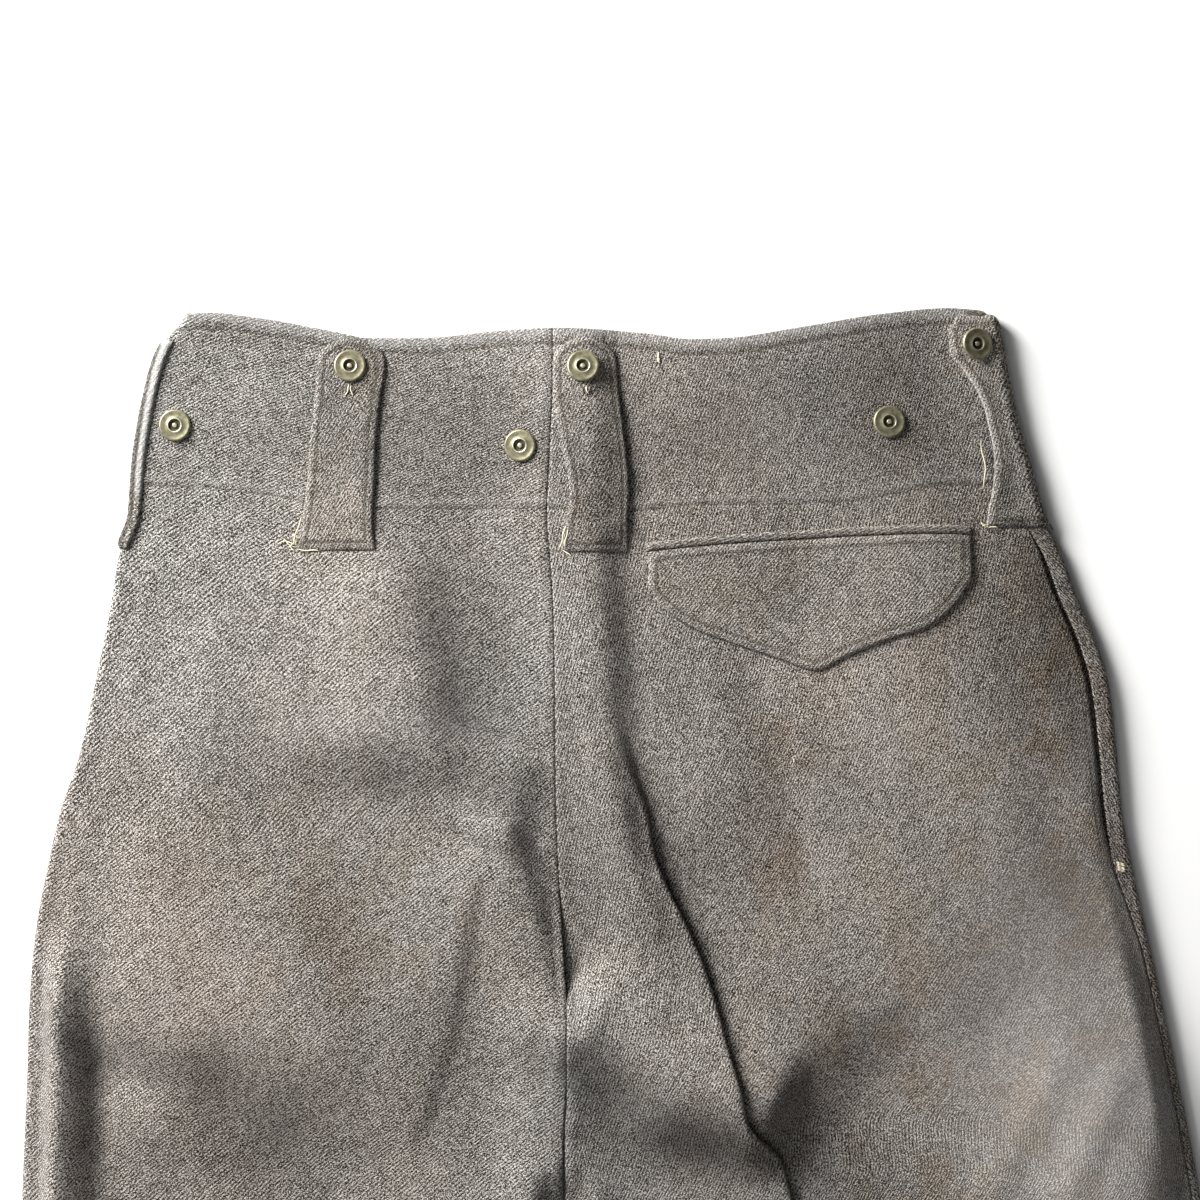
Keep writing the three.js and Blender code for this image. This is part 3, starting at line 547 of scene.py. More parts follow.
    def stretch(self, half: Half, name: str, part: Array, row: Array) -> Array:
        """Points at mid-thickness along one stretch of the rows.

        Args:
            half: which half.
            name: the stretch, such as under, roll, over, tuck, lobe or lay.
            part: places along the stretch, from 0 to 1, or distances out for lay.
            row: depths of the rows, in a shape that goes with the parts.

        Returns:
            points in millimetres.
        """
        sizes = self.row_sizes(half, row)
        start, end, curl, radius = (sizes[k] for k in ("flat_start", "flat_end", "curl", "radius"))
        if name in ("under_curl", "over_curl"):
            angle = curl * (1 - part) if name == "under_curl" else curl * part
            out = start - radius * np.sin(angle)
            drop = radius * (1 - np.cos(angle))
            if name == "under_curl":
                z = self.under_height(half, start, row, sizes) + drop
            else:
                z = self.over_height(half, start, row, sizes) - drop
        elif name == "under":
            out = start + part * (end - start)
            z = self.under_height(half, out, row, sizes)
        elif name == "roll":
            angle = math.pi * part
            out = end + self.roll_radius * np.sin(angle)
            z = self.under_height(half, end, row, sizes) + self.roll_radius * (1 - np.cos(angle))
        elif name == "over":
            reach = self.tuck_sizes(row, sizes)["end"] if half is Half.RIGHT else start
            out = end + part * (reach - end)
            z = self.over_height(half, out, row, sizes)
        elif name == "tuck":
            fold = self.tuck_sizes(row, sizes)
            out_by, fall = self.tuck_offset(fold, 1 - part)
            out = fold["start"] + out_by
            z = self.over_height(half, out, row, sizes) + fold["drop"] - fall
        elif name == "lobe":
            fold = self.tuck_sizes(row, sizes)
            out = fold["start"] + part * (start - fold["start"])
            ramp_end = np.maximum(fold["start"] - fold["tuck"] - self.ramp_margin, start + self.ramp_margin)
            ramp = smooth((out - start) / (ramp_end - start))
            z = self.over_height(half, out, row, sizes) + fold["drop"] * ramp
        else:
            out, z = self.lay(half, part, row, sizes)
        x = sizes["inner"] + half.value * out
        dip = self.waist(x) * (1 - smooth(row / self.waist_fade))
        y = self.length / 2 - row - dip
        return np.stack(np.broadcast_arrays(x, y, z), axis=-1)

    def lay(self, half: Half, out: Array, row: Array, sizes: dict[str, Array]) -> tuple[Array, Array]:
        """A distance out that goes on round the roll and under it, as out and height.

        Args:
            half: which half.
            out: distances out from the inner edge.
            row: depths of the rows.
            sizes: the sizes of those rows.

        Returns:
            both, in millimetres.
        """
        end, radius = sizes["flat_end"], self.roll_radius
        past = out - end
        angle = clamp(past / radius, 0, math.pi)
        beyond = np.maximum(past - math.pi * radius, 0)
        floor = self.under_height(half, end, row, sizes)
        top = self.over_height(half, np.minimum(out, end), row, sizes)
        round_z = floor + radius * (1 + np.cos(angle))
        return (
            np.where(past <= 0, out, end + radius * np.sin(angle) - beyond),
            np.where(past <= 0, top, round_z),
        )

    def tuck_offset(self, fold: dict[str, Array], part: Array) -> tuple[Array, Array]:
        """Offset out and down from the start of the tucked fold.

        Args:
            fold: the fold's sizes.
            part: places along the fold, from 0 to 1.

        Returns:
            both offsets.
        """
        turn, bend, radius, tuck = (fold[k] for k in ("turn", "bend", "radius", "tuck"))
        share = self.bend_share
        first = clamp(part / share) * bend / radius
        middle = clamp((part - share) / (1 - 2 * share)) * tuck
        second = turn - clamp((part - 1 + share) / share) * bend / radius
        out = radius * (np.sin(first) + np.sin(turn) - np.sin(second)) + middle * np.cos(turn)
        fall = radius * (1 - np.cos(first) + np.cos(second) - np.cos(turn)) + middle * np.sin(turn)
        return out, fall

    def seam_out(self, half: Half, row: Array) -> Array:
        """How far out from the inner edge the side seam lies."""
        inset = self.left_seam_inset if half is Half.LEFT else self.right_seam_inset(row)
        return self.row_sizes(half, row)["flat_end"] + self.roll_radius + self.cloth / 2 - inset

    def seam_parts(self, half: Half, row: Array) -> tuple[Array, Array]:
        """Parts of the stretch where the panels end: on the outer and inner side of the seam.

        Args:
            half: which half.
            row: depths of the rows.

        Returns:
            both parts, each in the shape of the rows.
        """
        sizes = self.row_sizes(half, row)
        seam = self.seam_out(half, row)
        gap = self.seam_gap / 2 + 0 * row
        if half is Half.LEFT:
            far, near = sizes["flat_start"], sizes["flat_end"]
            return (seam + gap - far) / (near - far), (seam - gap - far) / (near - far)
        middle = (self.pocket_top + self.pocket_bottom) / 2
        reach = (self.pocket_bottom - self.pocket_top) / 2
        part = (np.abs(row - middle) / reach - self.pocket_even) / (1 - self.pocket_even)
        gap = gap + self.pocket_open * (1 - smooth(part))
        far, near = self.tuck_sizes(row, sizes)["end"], sizes["flat_end"]
        return (near - seam - gap) / (near - far), (near - seam + gap) / (near - far)

    def depth_at(self, x: Array, row: Array) -> Array:
        """Depth of a row at some places across, where the waist edge dips."""
        return row + self.waist(x) * (1 - smooth(row / self.waist_fade))

    def row_at(self, x: Array, depth: Array) -> Array:
        """The row that passes through a depth at some places across."""
        row = depth + 0 * x
        for _ in range(ROW_TRIES):
            row = np.maximum(row + depth - self.depth_at(x, row), 0)
        return row

    def on_back(self, x: Array, depth: Array) -> tuple[Array, Array]:
        """Points at mid-thickness on the back, with the directions that face out of it.

        Args:
            x: places across the garment, which go on round the rolled sides.
            depth: depths of the same places.

        Returns:
            points and directions.
        """
        x, depth = np.broadcast_arrays(np.asarray(x, float), np.asarray(depth, float))
        depth = self.row_at(x, depth)
        points = np.empty((*x.shape, 3))
        outward = np.empty((*x.shape, 3))
        step = NORMAL_STEP
        for half in Half:
            out = half.value * (x - self.row_sizes(half, depth)["inner"])
            here = out >= 0
            after, before, lower, upper, at = (
                self.stretch(half, "lay", out + more_out, depth + more_depth)
                for more_out, more_depth in ((step, 0), (-step, 0), (0, step), (0, -step), (0, 0))
            )
            normal = -half.value * unit(np.cross(after - before, lower - upper))
            points[here] = at[here]
            outward[here] = normal[here]
        return points, outward


def quads_of(rows: int, columns: int) -> Array:
    """Quads of an open grid whose points are counted row by row."""
    at = np.arange(rows * columns).reshape(rows, columns)
    corners = (at[:-1, :-1], at[1:, :-1], at[1:, 1:], at[:-1, 1:])
    return np.stack([corner.ravel() for corner in corners], axis=1)


def rim_of(rows: int, columns: int) -> Array:
    """Points round the border of a grid, in order, without a repeat."""
    at = np.arange(rows * columns).reshape(rows, columns)
    return np.concatenate([at[0, :-1], at[:-1, -1], at[-1, :0:-1], at[:0:-1, 0]])


def outline_of(x: Array, depth: Array) -> Array:
    """Places round the border of a grid, in order."""
    border = rim_of(*x.shape)
    return np.stack([x.ravel()[border], depth.ravel()[border]], axis=1)


def away_from_outline(x: Array, depth: Array) -> Array:
    """Distance of each point of a grid from the grid's own border, in millimetres."""
    corners = outline_of(x, depth)
    best = np.full(x.shape, np.inf)
    for (ax, ad), (bx, bd) in zip(corners, np.roll(corners, -1, axis=0)):
        length = max((bx - ax) ** 2 + (bd - ad) ** 2, 1e-9)
        along = clamp(((x - ax) * (bx - ax) + (depth - ad) * (bd - ad)) / length)
        best = np.minimum(best, np.hypot(x - ax - along * (bx - ax), depth - ad - along * (bd - ad)))
    return best


def rounded(distance: Array, radius: float) -> Array:
    """Share of the thickness at a distance from an edge that is round like a folded one."""
    short = 1 - clamp(distance / radius)
    return np.sqrt(np.maximum(1 - short * short, SHARP_EDGE**2))


def tube_faces(rings: int, sides: int) -> list[tuple[int, ...]]:
    """Faces of a tube whose points are counted ring by ring, closed at both ends.

    Args:
        rings: how many rings it has.
        sides: points in each ring.

    Returns:
        the faces.
    """
    faces = []
    for ring in range(rings - 1):
        for side in range(sides):
            a, b = ring * sides + side, ring * sides + (side + 1) % sides
            faces.append((a, b, b + sides, a + sides))
    last = (rings - 1) * sides
    return [*faces, tuple(reversed(range(sides))), tuple(range(last, last + sides))]


def write_marks(mesh: bpy.types.Mesh, marks: Array) -> None:
    """Writes wear with painted light, dirt with painted shade, and browning to the points of a mesh, held
    from 0 to 1.
    """
    values = np.column_stack([clamp(marks), np.ones(len(marks))])
    layer = mesh.attributes.new(WEAR_NAME, "FLOAT_COLOR", "POINT")
    layer.data.foreach_set("color", values.ravel().astype(np.float32))


def place(piece: Piece) -> Piece:
    """Links a new object to the scene."""
    bpy.context.scene.collection.objects.link(piece)
    return piece


def declare(piece: Piece, slot: Slot, *nodes: str) -> Piece:
    """Says what a piece moves with and stands for.

    Args:
        piece: the piece.
        slot: its finish; not used.
        nodes: what it stands for.

    Returns:
        the same piece.
    """
    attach(piece, BODY)
    if nodes:
        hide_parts(*nodes)
    LOG.info("%s: %d faces", piece.name, len(piece.data.polygons))
    return piece


@dataclass
class WallMesh:
    """A closed cloth wall from two grids of points, with what its material reads."""

    name: str
    outer: Array
    inner: Array
    weave: Array
    marks: Array

    def build(self, material: Material) -> Piece:
        """Makes the object.

        Args:
            material: the finish of the whole wall.

        Returns:
            the new object, in metres, at the origin.
        """
        rows, columns = self.outer.shape[:2]
        count = rows * columns
        points = np.concatenate([self.outer.reshape(-1, 3), self.inner.reshape(-1, 3)]) * MM
        face = quads_of(rows, columns)
        border = rim_of(rows, columns)
        onward = np.roll(border, -1)
        edge = np.stack([border, onward, onward + count, border + count], axis=1)
        quads = np.concatenate([face, face[:, ::-1] + count, edge])
        if self._volume(points, quads) < 0:
            quads = quads[:, ::-1]
        mesh = bpy.data.meshes.new(self.name)
        mesh.vertices.add(len(points))
        mesh.vertices.foreach_set("co", points.ravel())
        mesh.loops.add(quads.size)
        mesh.loops.foreach_set("vertex_index", quads.ravel().astype(np.int32))
        mesh.polygons.add(len(quads))
        mesh.polygons.foreach_set("loop_start", np.arange(0, quads.size, 4, dtype=np.int32))
        mesh.update(calc_edges=True)
        mesh.shade_smooth()
        uv = np.concatenate([self.weave.reshape(-1, 2)] * 2)
        layer = mesh.uv_layers.new(name=UV_NAME)
        layer.data.foreach_set("uv", uv[quads.ravel()].ravel())
        write_marks(mesh, np.concatenate([self.marks.reshape(-1, 3)] * 2))
        mesh.validate()
        mesh.materials.append(material)
        return place(bpy.data.objects.new(self.name, mesh))

    @staticmethod
    def _volume(points: Array, quads: Array) -> float:
        """Volume inside the quads, negative where they face inwards."""
        a, b, c, d = (points[quads[:, i]] for i in range(4))
        first = np.einsum("ij,ij->i", a, np.cross(b, c))
        second = np.einsum("ij,ij->i", a, np.cross(c, d))
        return float((first + second).sum())


@dataclass(frozen=True)
class Cut:
    """How a sheet is cut and laid: width and length in metres, area in m2, what it rests on."""

    width: float
    length: float
    area: float
    rests_on: tuple[str, ...]

    def lay(self, piece: Piece) -> Piece:
        """Returns a finished piece unchanged."""
        return piece


class Graph:
    """Adds the nodes of one material or group and joins them up."""

    def __init__(self, tree: bpy.types.NodeTree) -> None:
        """Keeps the tree that the nodes go into."""
        self.tree = tree

    def add(self, kind: str, inputs: Inputs | None = None, **settings: object) -> bpy.types.Node:
        """Adds one node.

        Args:
            kind: the node's type.
            inputs: a value or another node's output for each input, by name or number.
            settings: the node's own settings.

        Returns:
            the node.
        """
        node = self.tree.nodes.new(kind)
        for name, value in settings.items():
            setattr(node, name, value)
        for key, value in (inputs or {}).items():
            self._feed(node.inputs[key], value)
        return node

    def math(self, operation: str, first: object, second: object = 0.0, third: object = 0.0) -> Socket:
        """The output of one sum."""
        inputs = {0: first, 1: second, 2: third}
        return self.add("ShaderNodeMath", inputs, operation=operation).outputs[0]

    def weighted(self, *terms: tuple[object, float]) -> Socket:
        """The sum of some values, each times its own share."""
        (value, share), *rest = terms
        total = self.math("MULTIPLY", value, share)
        for value, share in rest:
            total = self.math("MULTIPLY_ADD", value, share, total)
        return total

    def wave(self, distance: object, pitch: float) -> Socket:
        """A wave from 0 to 1 along a distance."""
        turn = self.math("MULTIPLY", distance, 2 * math.pi / pitch)
        return self.math("MULTIPLY_ADD", self.math("SINE", turn), 0.5, 0.5)

    def spread(self, value: object, low: float, high: float, to_low: float = 0, to_high: float = 1) -> Socket:
        """A value moved from one range to another and held inside it."""
        inputs = {"Value": value, "From Min": low, "From Max": high, "To Min": to_low, "To Max": to_high}
        return self.add("ShaderNodeMapRange", inputs, clamp=True).outputs[0]

    def noise(self, vector: object, scale: Sequence[float], detail: float = 2, rough: float = 0.6) -> Socket:
        """Noise over a vector that is first stretched."""
        stretched = self.add("ShaderNodeMapping", {"Vector": vector, "Scale": scale}).outputs[0]
        inputs = {"Vector": stretched, "Scale": 1.0, "Detail": detail, "Roughness": rough}
        return self.add("ShaderNodeTexNoise", inputs).outputs[0]

    def blend(self, share: object, first: object, second: object, kind: str = "MIX") -> Socket:
        """One colour mixed into another."""
        node = self.add("ShaderNodeMix", data_type="RGBA", blend_type=kind)
        for key, value in (("Factor_Float", share), ("A_Color", first), ("B_Color", second)):
            self._feed(next(s for s in node.inputs if s.identifier == key), value)
        return next(s for s in node.outputs if s.identifier == "Result_Color")

    def bump(self, height: object, distance: float, strength: float = 1.0) -> Socket:
        """A normal from a height whose steps are so many millimetres high."""
        inputs = {"Strength": strength, "Distance": distance * MM, "Height": height}
        return self.add("ShaderNodeBump", inputs).outputs[0]

    def here(self) -> Socket:
        """The place on the object, in metres."""
        return self.add("ShaderNodeTexCoord").outputs["Object"]

    def marks(self) -> Socket:
        """Wear with painted light, dirt with painted shade, and browning, as one colour."""
        return self.add("ShaderNodeAttribute", attribute_name=WEAR_NAME).outputs["Color"]

    def shade(self, inputs: Inputs) -> None:
        """Adds the shader and joins it to the material's output."""
        shader = self.add("ShaderNodeBsdfPrincipled", inputs)
        self.add("ShaderNodeOutputMaterial", {0: shader.outputs[0]})

    def _feed(self, socket: Socket, value: object) -> None:
        """Links an output to an input, or sets the input's own value."""
        if isinstance(value, bpy.types.NodeSocket):
            self.tree.links.new(value, socket)
        else:
            socket.default_value = value


def rgba(red: float, green: float, blue: float) -> tuple[float, float, float, float]:
    """A linear colour from the 0 to 255 steps of a colour picker."""
    steps = [value / 255 for value in (red, green, blue)]
    linear = [v / 12.92 if v <= 0.04045 else ((v + 0.055) / 1.055) ** 2.4 for v in steps]
    return (*linear, 1.0)


def blank_material(name: str) -> tuple[Material, Graph]:
    """A new material without nodes, and the graph that fills it."""
    material = bpy.data.materials.new(name)
    material.use_nodes = True
    material.node_tree.nodes.clear()
    return material, Graph(material.node_tree)


@dataclass(frozen=True)
class SergeWeave:
    """The node group for melange serge: twill ridges, mixed fibres and a soft nap.

    Pitches are in millimetres and scales in waves per millimetre, or per metre over the garment.
    """

    name: str = "serge_weave"
    ridge_pitch: float = 1.62
    float_pitch: float = 1.5
    stain: Shade = (232, 218, 200)
    tint_share: float = 0.55
    # Wear carries some painted light on lit slopes; dirt is mostly painted shade.
    wear_and_light_share: float = 0.55
    dirt_and_shade_share: float = 0.75
    fleck_share: float = 0.5

    def group(self) -> bpy.types.NodeTree:
        """Makes the group, or finds it when it is there already.

        Returns:
            the group, with the outputs Color, Height and Roughness.
        """
        known = bpy.data.node_groups.get(self.name)
        return known or self._made()

    def _made(self) -> bpy.types.NodeTree:
        """Makes the group.

        Returns:
            the new group.
        """
        tree = bpy.data.node_groups.new(self.name, "ShaderNodeTree")
        vectors = dict.fromkeys(("Weave", "Place"), "Vector")
        colours = dict.fromkeys(("Marks", "Dark", "Middle", "Light", "Brown", "Green"), "Color")
        for way, sockets in (
            ("INPUT", {**vectors, **colours, "Twill": "Float"}),
            ("OUTPUT", {"Color": "Color", "Height": "Float", "Roughness": "Float"}),
        ):
            for name, kind in sockets.items():
                tree.interface.new_socket(name, in_out=way, socket_type=f"NodeSocket{kind}")
        graph = Graph(tree)
        into = graph.add("NodeGroupInput").outputs
        weave, here = into["Weave"], into["Place"]
        wear, dirt_and_shade, browning = graph.add("ShaderNodeSeparateColor", {"Color": into["Marks"]}).outputs

        along, over, _ = graph.add("ShaderNodeSeparateXYZ", {"Vector": weave}).outputs
        wander = graph.noise(weave, (0.06, 0.11, 1.0))
        wobble = graph.noise(weave, (0.45, 0.8, 1.0), 1.0)
        across = graph.math("MULTIPLY_ADD", wander, 2.2, over)
        ridge = graph.wave(graph.math("MULTIPLY_ADD", wobble, 0.95, across), self.ridge_pitch)
        slant = graph.math("MULTIPLY_ADD", over, 0.9, along)
        floats = graph.wave(graph.math("MULTIPLY_ADD", wobble, 0.6, slant), self.float_pitch)

        fibre = graph.spread(graph.noise(weave, (0.8, 1.3, 1.0), 2.0, 0.7), 0.4, 0.6)
        speck = graph.spread(graph.noise(weave, (1.5, 2.3, 1.0), 1.0), 0.38, 0.62)
        fleck = graph.spread(graph.noise(weave, (1.1, 2.3, 1.0), 0.0), 0.66, 0.74)
        cloud = graph.spread(graph.noise(weave, (0.16, 0.2, 1.0), 3.0, 0.7), 0.3, 0.7)
        patch = graph.spread(graph.noise(here, (11.0, 9.0, 9.0), 3.0), 0.35, 0.65)
        broad = graph.spread(graph.noise(here, (4.0, 3.0, 4.0), 2.0, 0.5), 0.35, 0.65)
        stain = graph.spread(graph.noise(here, (38.0, 30.0, 30.0), 3.0), 0.44, 0.62)

        tone = graph.weighted((fibre, 0.4), (speck, 0.42), (cloud, 0.17), (patch, 0.1))
        lines = graph.math("MULTIPLY", graph.math("SUBTRACT", ridge, 0.5), into["Twill"])
        tone = graph.math("ADD", tone, lines)
        tone = graph.math("MULTIPLY_ADD", graph.math("SUBTRACT", floats, 0.5), 0.07, tone)
        colour = graph.blend(graph.spread(tone, 0.3, 0.55), into["Dark"], into["Middle"])
        colour = graph.blend(graph.spread(tone, 0.54, 0.8), colour, into["Light"])
        colour = graph.blend(graph.weighted((fleck, self.fleck_share)), colour, into["Light"])
        tint = graph.blend(broad, into["Green"], into["Brown"])
        tint = graph.blend(browning, tint, into["Brown"])
        colour = graph.blend(self.tint_share, colour, tint, "MULTIPLY")
        stained = graph.math("MULTIPLY", stain, browning)
        colour = graph.blend(stained, colour, rgba(*self.stain), "MULTIPLY")
        # Wear, with its painted light, lightens the cloth; dirt and painted shade darken it.
        colour = graph.blend(graph.weighted((wear, self.wear_and_light_share)), colour, into["Light"])
        colour = graph.blend(graph.weighted((dirt_and_shade, self.dirt_and_shade_share)), colour, into["Dark"])

        height = graph.weighted((ridge, 0.42), (floats, 0.12), (fibre, 0.5), (speck, 0.35))
        rough = graph.spread(fibre, 0.0, 1.0, 0.98, 0.86)
        graph.add("NodeGroupOutput", {"Color": colour, "Height": height, "Roughness": rough})
        return tree


@dataclass(frozen=True)
class SergeFinish:
    """One shade of the serge."""

    name: str
    dark: Shade
    middle: Shade
    light: Shade
    brown: Shade = (255, 238, 225)
    green: Shade = (247, 249, 246)
    twill: float = 0.22
    relief: float = 0.34
    sheen: float = 0.06

    def material(self) -> Material:
        """Makes the material.

        Returns:
            a matt cloth that reads the weave's own coordinates and the wear marks.
        """
        material, graph = blank_material(self.name)
        shades = ("dark", "middle", "light", "brown", "green")
        inputs = {shade.title(): rgba(*getattr(self, shade)) for shade in shades}
        inputs["Twill"] = self.twill
        inputs["Weave"] = graph.add("ShaderNodeUVMap", uv_map=UV_NAME).outputs[0]
        inputs["Place"] = graph.here()
        inputs["Marks"] = graph.marks()
        cloth = graph.add("ShaderNodeGroup", inputs, node_tree=SergeWeave().group()).outputs
        graph.shade(
            {
                "Base Color": cloth["Color"],
                "Roughness": cloth["Roughness"],
                "Normal": graph.bump(cloth["Height"], self.relief),
                "Specular IOR Level": 0.1,
                "Sheen Weight": self.sheen,
                "Sheen Roughness": 0.5,
            }
        )
        return material


@dataclass(frozen=True)
class ThreadFinish:
    """Sewing thread, plied and slightly uneven."""

    name: str
    dark: Shade
    light: Shade

    def material(self) -> Material:
        """Makes the material.

        Returns:
            a matt, slightly uneven thread.
        """
        material, graph = blank_material(self.name)
        here = graph.here()
        ply = graph.noise(here, (2600.0,) * 3)
        shade = graph.noise(here, (90.0,) * 3)
        mix = graph.spread(graph.weighted((shade, 0.5), (ply, 0.6)), 0.35, 0.75)
        graph.shade(
            {
                "Base Color": graph.blend(mix, rgba(*self.dark), rgba(*self.light)),
                "Roughness": graph.spread(ply, 0.2, 0.8, 0.9, 0.7),
                "Normal": graph.bump(ply, 0.1, 0.6),
                "Specular IOR Level": 0.25,
            }
        )
        return material


@dataclass(frozen=True)
class PaintedMetal:
    """Olive paint over brass, worn through on the rims and dull in the dish."""

    name: str = "olive_painted_metal"
    paint: Shade = (148, 143, 117)
    dull: Shade = (120, 115, 92)
    bare: Shade = (226, 221, 192)
    # Near black, for the painted shade in the open middle and the dirt in the dish.
    grime_and_shade: Shade = (24, 21, 16)

    def material(self) -> Material:
        """Makes the material.

        Returns:
            a metal that reads the wear marks.
        """
        material, graph = blank_material(self.name)
        here = graph.here()
        wear, dirt_and_shade, _ = graph.add("ShaderNodeSeparateColor", {"Color": graph.marks()}).outputs
        blotch = graph.noise(here, (420.0,) * 3, 3.0, 0.65)
        grain = graph.noise(here, (2400.0,) * 3)
        scratch = graph.math("SUBTRACT", graph.noise(here, (300.0, 3200.0, 900.0)), 0.5)
        rubbed = graph.spread(graph.math("ADD", wear, graph.math("MULTIPLY", scratch, 0.9)), 0.45, 0.8)
        colour = graph.blend(graph.spread(blotch, 0.35, 0.65), rgba(*self.dull), rgba(*self.paint))
        colour = graph.blend(rubbed, colour, rgba(*self.bare))
        colour = graph.blend(graph.math("MULTIPLY", dirt_and_shade, 0.8), colour, rgba(*self.grime_and_shade))
        graph.shade(
            {
                "Base Color": colour,
                "Metallic": graph.spread(rubbed, 0.0, 1.0, 0.55, 0.95),
                "Roughness": graph.spread(blotch, 0.3, 0.7, 0.38, 0.52),
                "Normal": graph.bump(graph.math("MULTIPLY_ADD", grain, 0.5, blotch), 0.12, 0.35),
            }
        )
        return material


SERGE = SergeFinish("serge", (17, 14, 11), (89, 86, 79), (207, 205, 204))
DOUBLED_SERGE = SergeFinish("serge_doubled", (16, 13, 10), (84, 81, 74), (194, 192, 190), twill=0.2)
POCKET_SERGE = SergeFinish("serge_pocket", (17, 14, 11), (86, 83, 76), (200, 198, 196))
KHAKI_THREAD = ThreadFinish("khaki_thread", (70, 62, 50), (128, 118, 100))
CREAM_THREAD = ThreadFinish("cream_thread", (186, 174, 140), (246, 238, 214))


@dataclass
class Wardrobe:
    """All the finishes, made once."""

    serge: Material = field(default_factory=SERGE.material)
    loop: Material = field(default_factory=DOUBLED_SERGE.material)
    pocket: Material = field(default_factory=POCKET_SERGE.material)
    khaki_thread: Material = field(default_factory=KHAKI_THREAD.material)
    cream_thread: Material = field(default_factory=CREAM_THREAD.material)
    metal: Material = field(default_factory=PaintedMetal().material)


def on_grain(across: Array, down: Array, degrees: Array | float) -> Array:
    """Weave coordinates of places on the cloth.

    Args:
        across: millimetres towards the right.
        down: millimetres towards the hem.
        degrees: how steeply the twill rises to the right.

    Returns:
        distances along and across the twill, in millimetres.
    """
    angle = np.radians(degrees)
    up = -down
    along = across * np.cos(angle) + up * np.sin(angle)
    over = up * np.cos(angle) - across * np.sin(angle)
    return np.stack(np.broadcast_arrays(along, over), axis=-1)


# Soft oval marks on the back: place across, depth, half width, half height and strength.
# The first oval is a worn spot by the slit; the others are painted light on lit slopes and crests of the seat
# and the right thigh.
WORN_AND_LIT_OVALS = (
    (247, 236, 7, 16, 0.5),
    (-120, 220, 70, 8, 0.12),
    (-214, 200, 60, 60, 0.06),
    (236, 345, 62, 80, 0.3),
    (245, 440, 66, 60, 0.4),
)
BROWNED = (
    (80, 258, 16, 60, 0.8),
    (232, 260, 26, 90, 0.8),
    (180, 420, 120, 80, 0.5),
    (-150, 330, 90, 60, 0.35),
)
# Painted shade: dark ovals where folds and hollows fall into shade, such as the streak beside the left roll,
# the hollow at the foot of the tucked fold, the lower flanks of the seat domes and the right of the waist.
PAINTED_SHADE_OVALS = (
    (-118, 245, 80, 18, 0.25),
    (-236, 398, 46, 18, 0.6),
    (-190, 430, 36, 28, 0.5),
    (-284, 425, 8, 66, 0.8),
    (-14, 405, 28, 30, 0.5),
    (32, 440, 42, 26, 0.85),
    (-132, 170, 26, 40, 0.15),
    (100, 46, 105, 58, 0.44),
    (-12, 285, 20, 44, 0.3),
    (90, 275, 90, 50, 0.2),
)


def ovals(table: Table, x: Array, depth: Array) -> Array:
    """How strong the marks of a table are, together, at some places."""
    return sum(bell(np.hypot((x - cx) / rx, (depth - cd) / rd), 1.0) * k for cx, cd, rx, rd, k in table)


@dataclass(frozen=True)
class Surface:
    """Fine shape, in millimetres, and wear, painted light and painted shade of the back's outer face."""

    garment: Garment
    band_stitch: float = 8.6
    slit_x: float = 211.0
    slit_depth: float = 120.8
    slit_lean: float = 0.264

    def seam_away(self, x: Array, depth: Array) -> Array:
        """Distance from the centre seam, or from the inner leg seam below it."""
        return np.minimum(*(np.abs(x - self.garment.sides[side](depth)) for side in ("left_in", "right_in")))

    def detail(self, x: Array, depth: Array) -> Array:
        """Height that seams and stitched lines add to the outer face.

        Args:
            x: places across the garment.
            depth: depths of the same places.

        Returns:
            heights in millimetres.
        """
        seam = self.seam_away(x, depth)
        line = depth - self.garment.facing_line(x)
        pucker = np.sin(x * 0.93 + 1.7 * np.sin(x / 13)) * np.sin(x / 5.1 + 0.8)
        at_seam = 0.2 * bell(seam - 4.0, 3.5) - 0.08 * bell(seam, 0.8)
        at_edge = 0.34 * bell(depth - 3.6, 2.6) - 0.6 * bell(depth - self.band_stitch, 1.0)
        at_line = -0.5 * bell(line, 1.0) + 0.24 * bell(line + 3.4, 2.2)
        puckered = pucker * (0.14 * bell(depth - 5, 5) + 0.12 * bell(line + 1, 4))
        return at_seam + at_edge + at_line + puckered

    def marks(self, x: Array, depth: Array) -> Array:
        """Wear with painted light, painted shade and browning of the back's outer face, each from 0 to 1.

        Args:
            x: places across the garment.
            depth: depths of the same places.

        Returns:
            the three values of each place.
        """
        seam = self.seam_away(x, depth)
        line = depth - self.garment.facing_line(x)
        slit = x - self.slit_x - self.slit_lean * (depth - self.slit_depth)
        slit_length = between(depth, 116, 10, 240, 45)
        wear = 0.32 * bell(depth - 2.5, 3.0) + 0.12 * bell(line + 3.0, 2.0) + 0.06 * bell(seam - 2.0, 1.6)
        # Painted shade: darker in the seam and in the stitched grooves of the band and the facing, with a
        # painted shadow along the pocket slit.
        dirt_and_shade = 0.1 * bell(seam, 0.8) + 0.6 * bell(depth - self.band_stitch, 0.9) + 0.4 * bell(line, 0.8)
        dirt_and_shade = dirt_and_shade + 0.5 * bell(slit, 10.0) * slit_length
        brown = 0.15 + 0.35 * smooth((x - 60) / 180)
        tables = ((wear, WORN_AND_LIT_OVALS), (dirt_and_shade, PAINTED_SHADE_OVALS), (brown, BROWNED))
        return clamp(np.stack([mark + ovals(table, x, depth) for mark, table in tables], axis=-1))


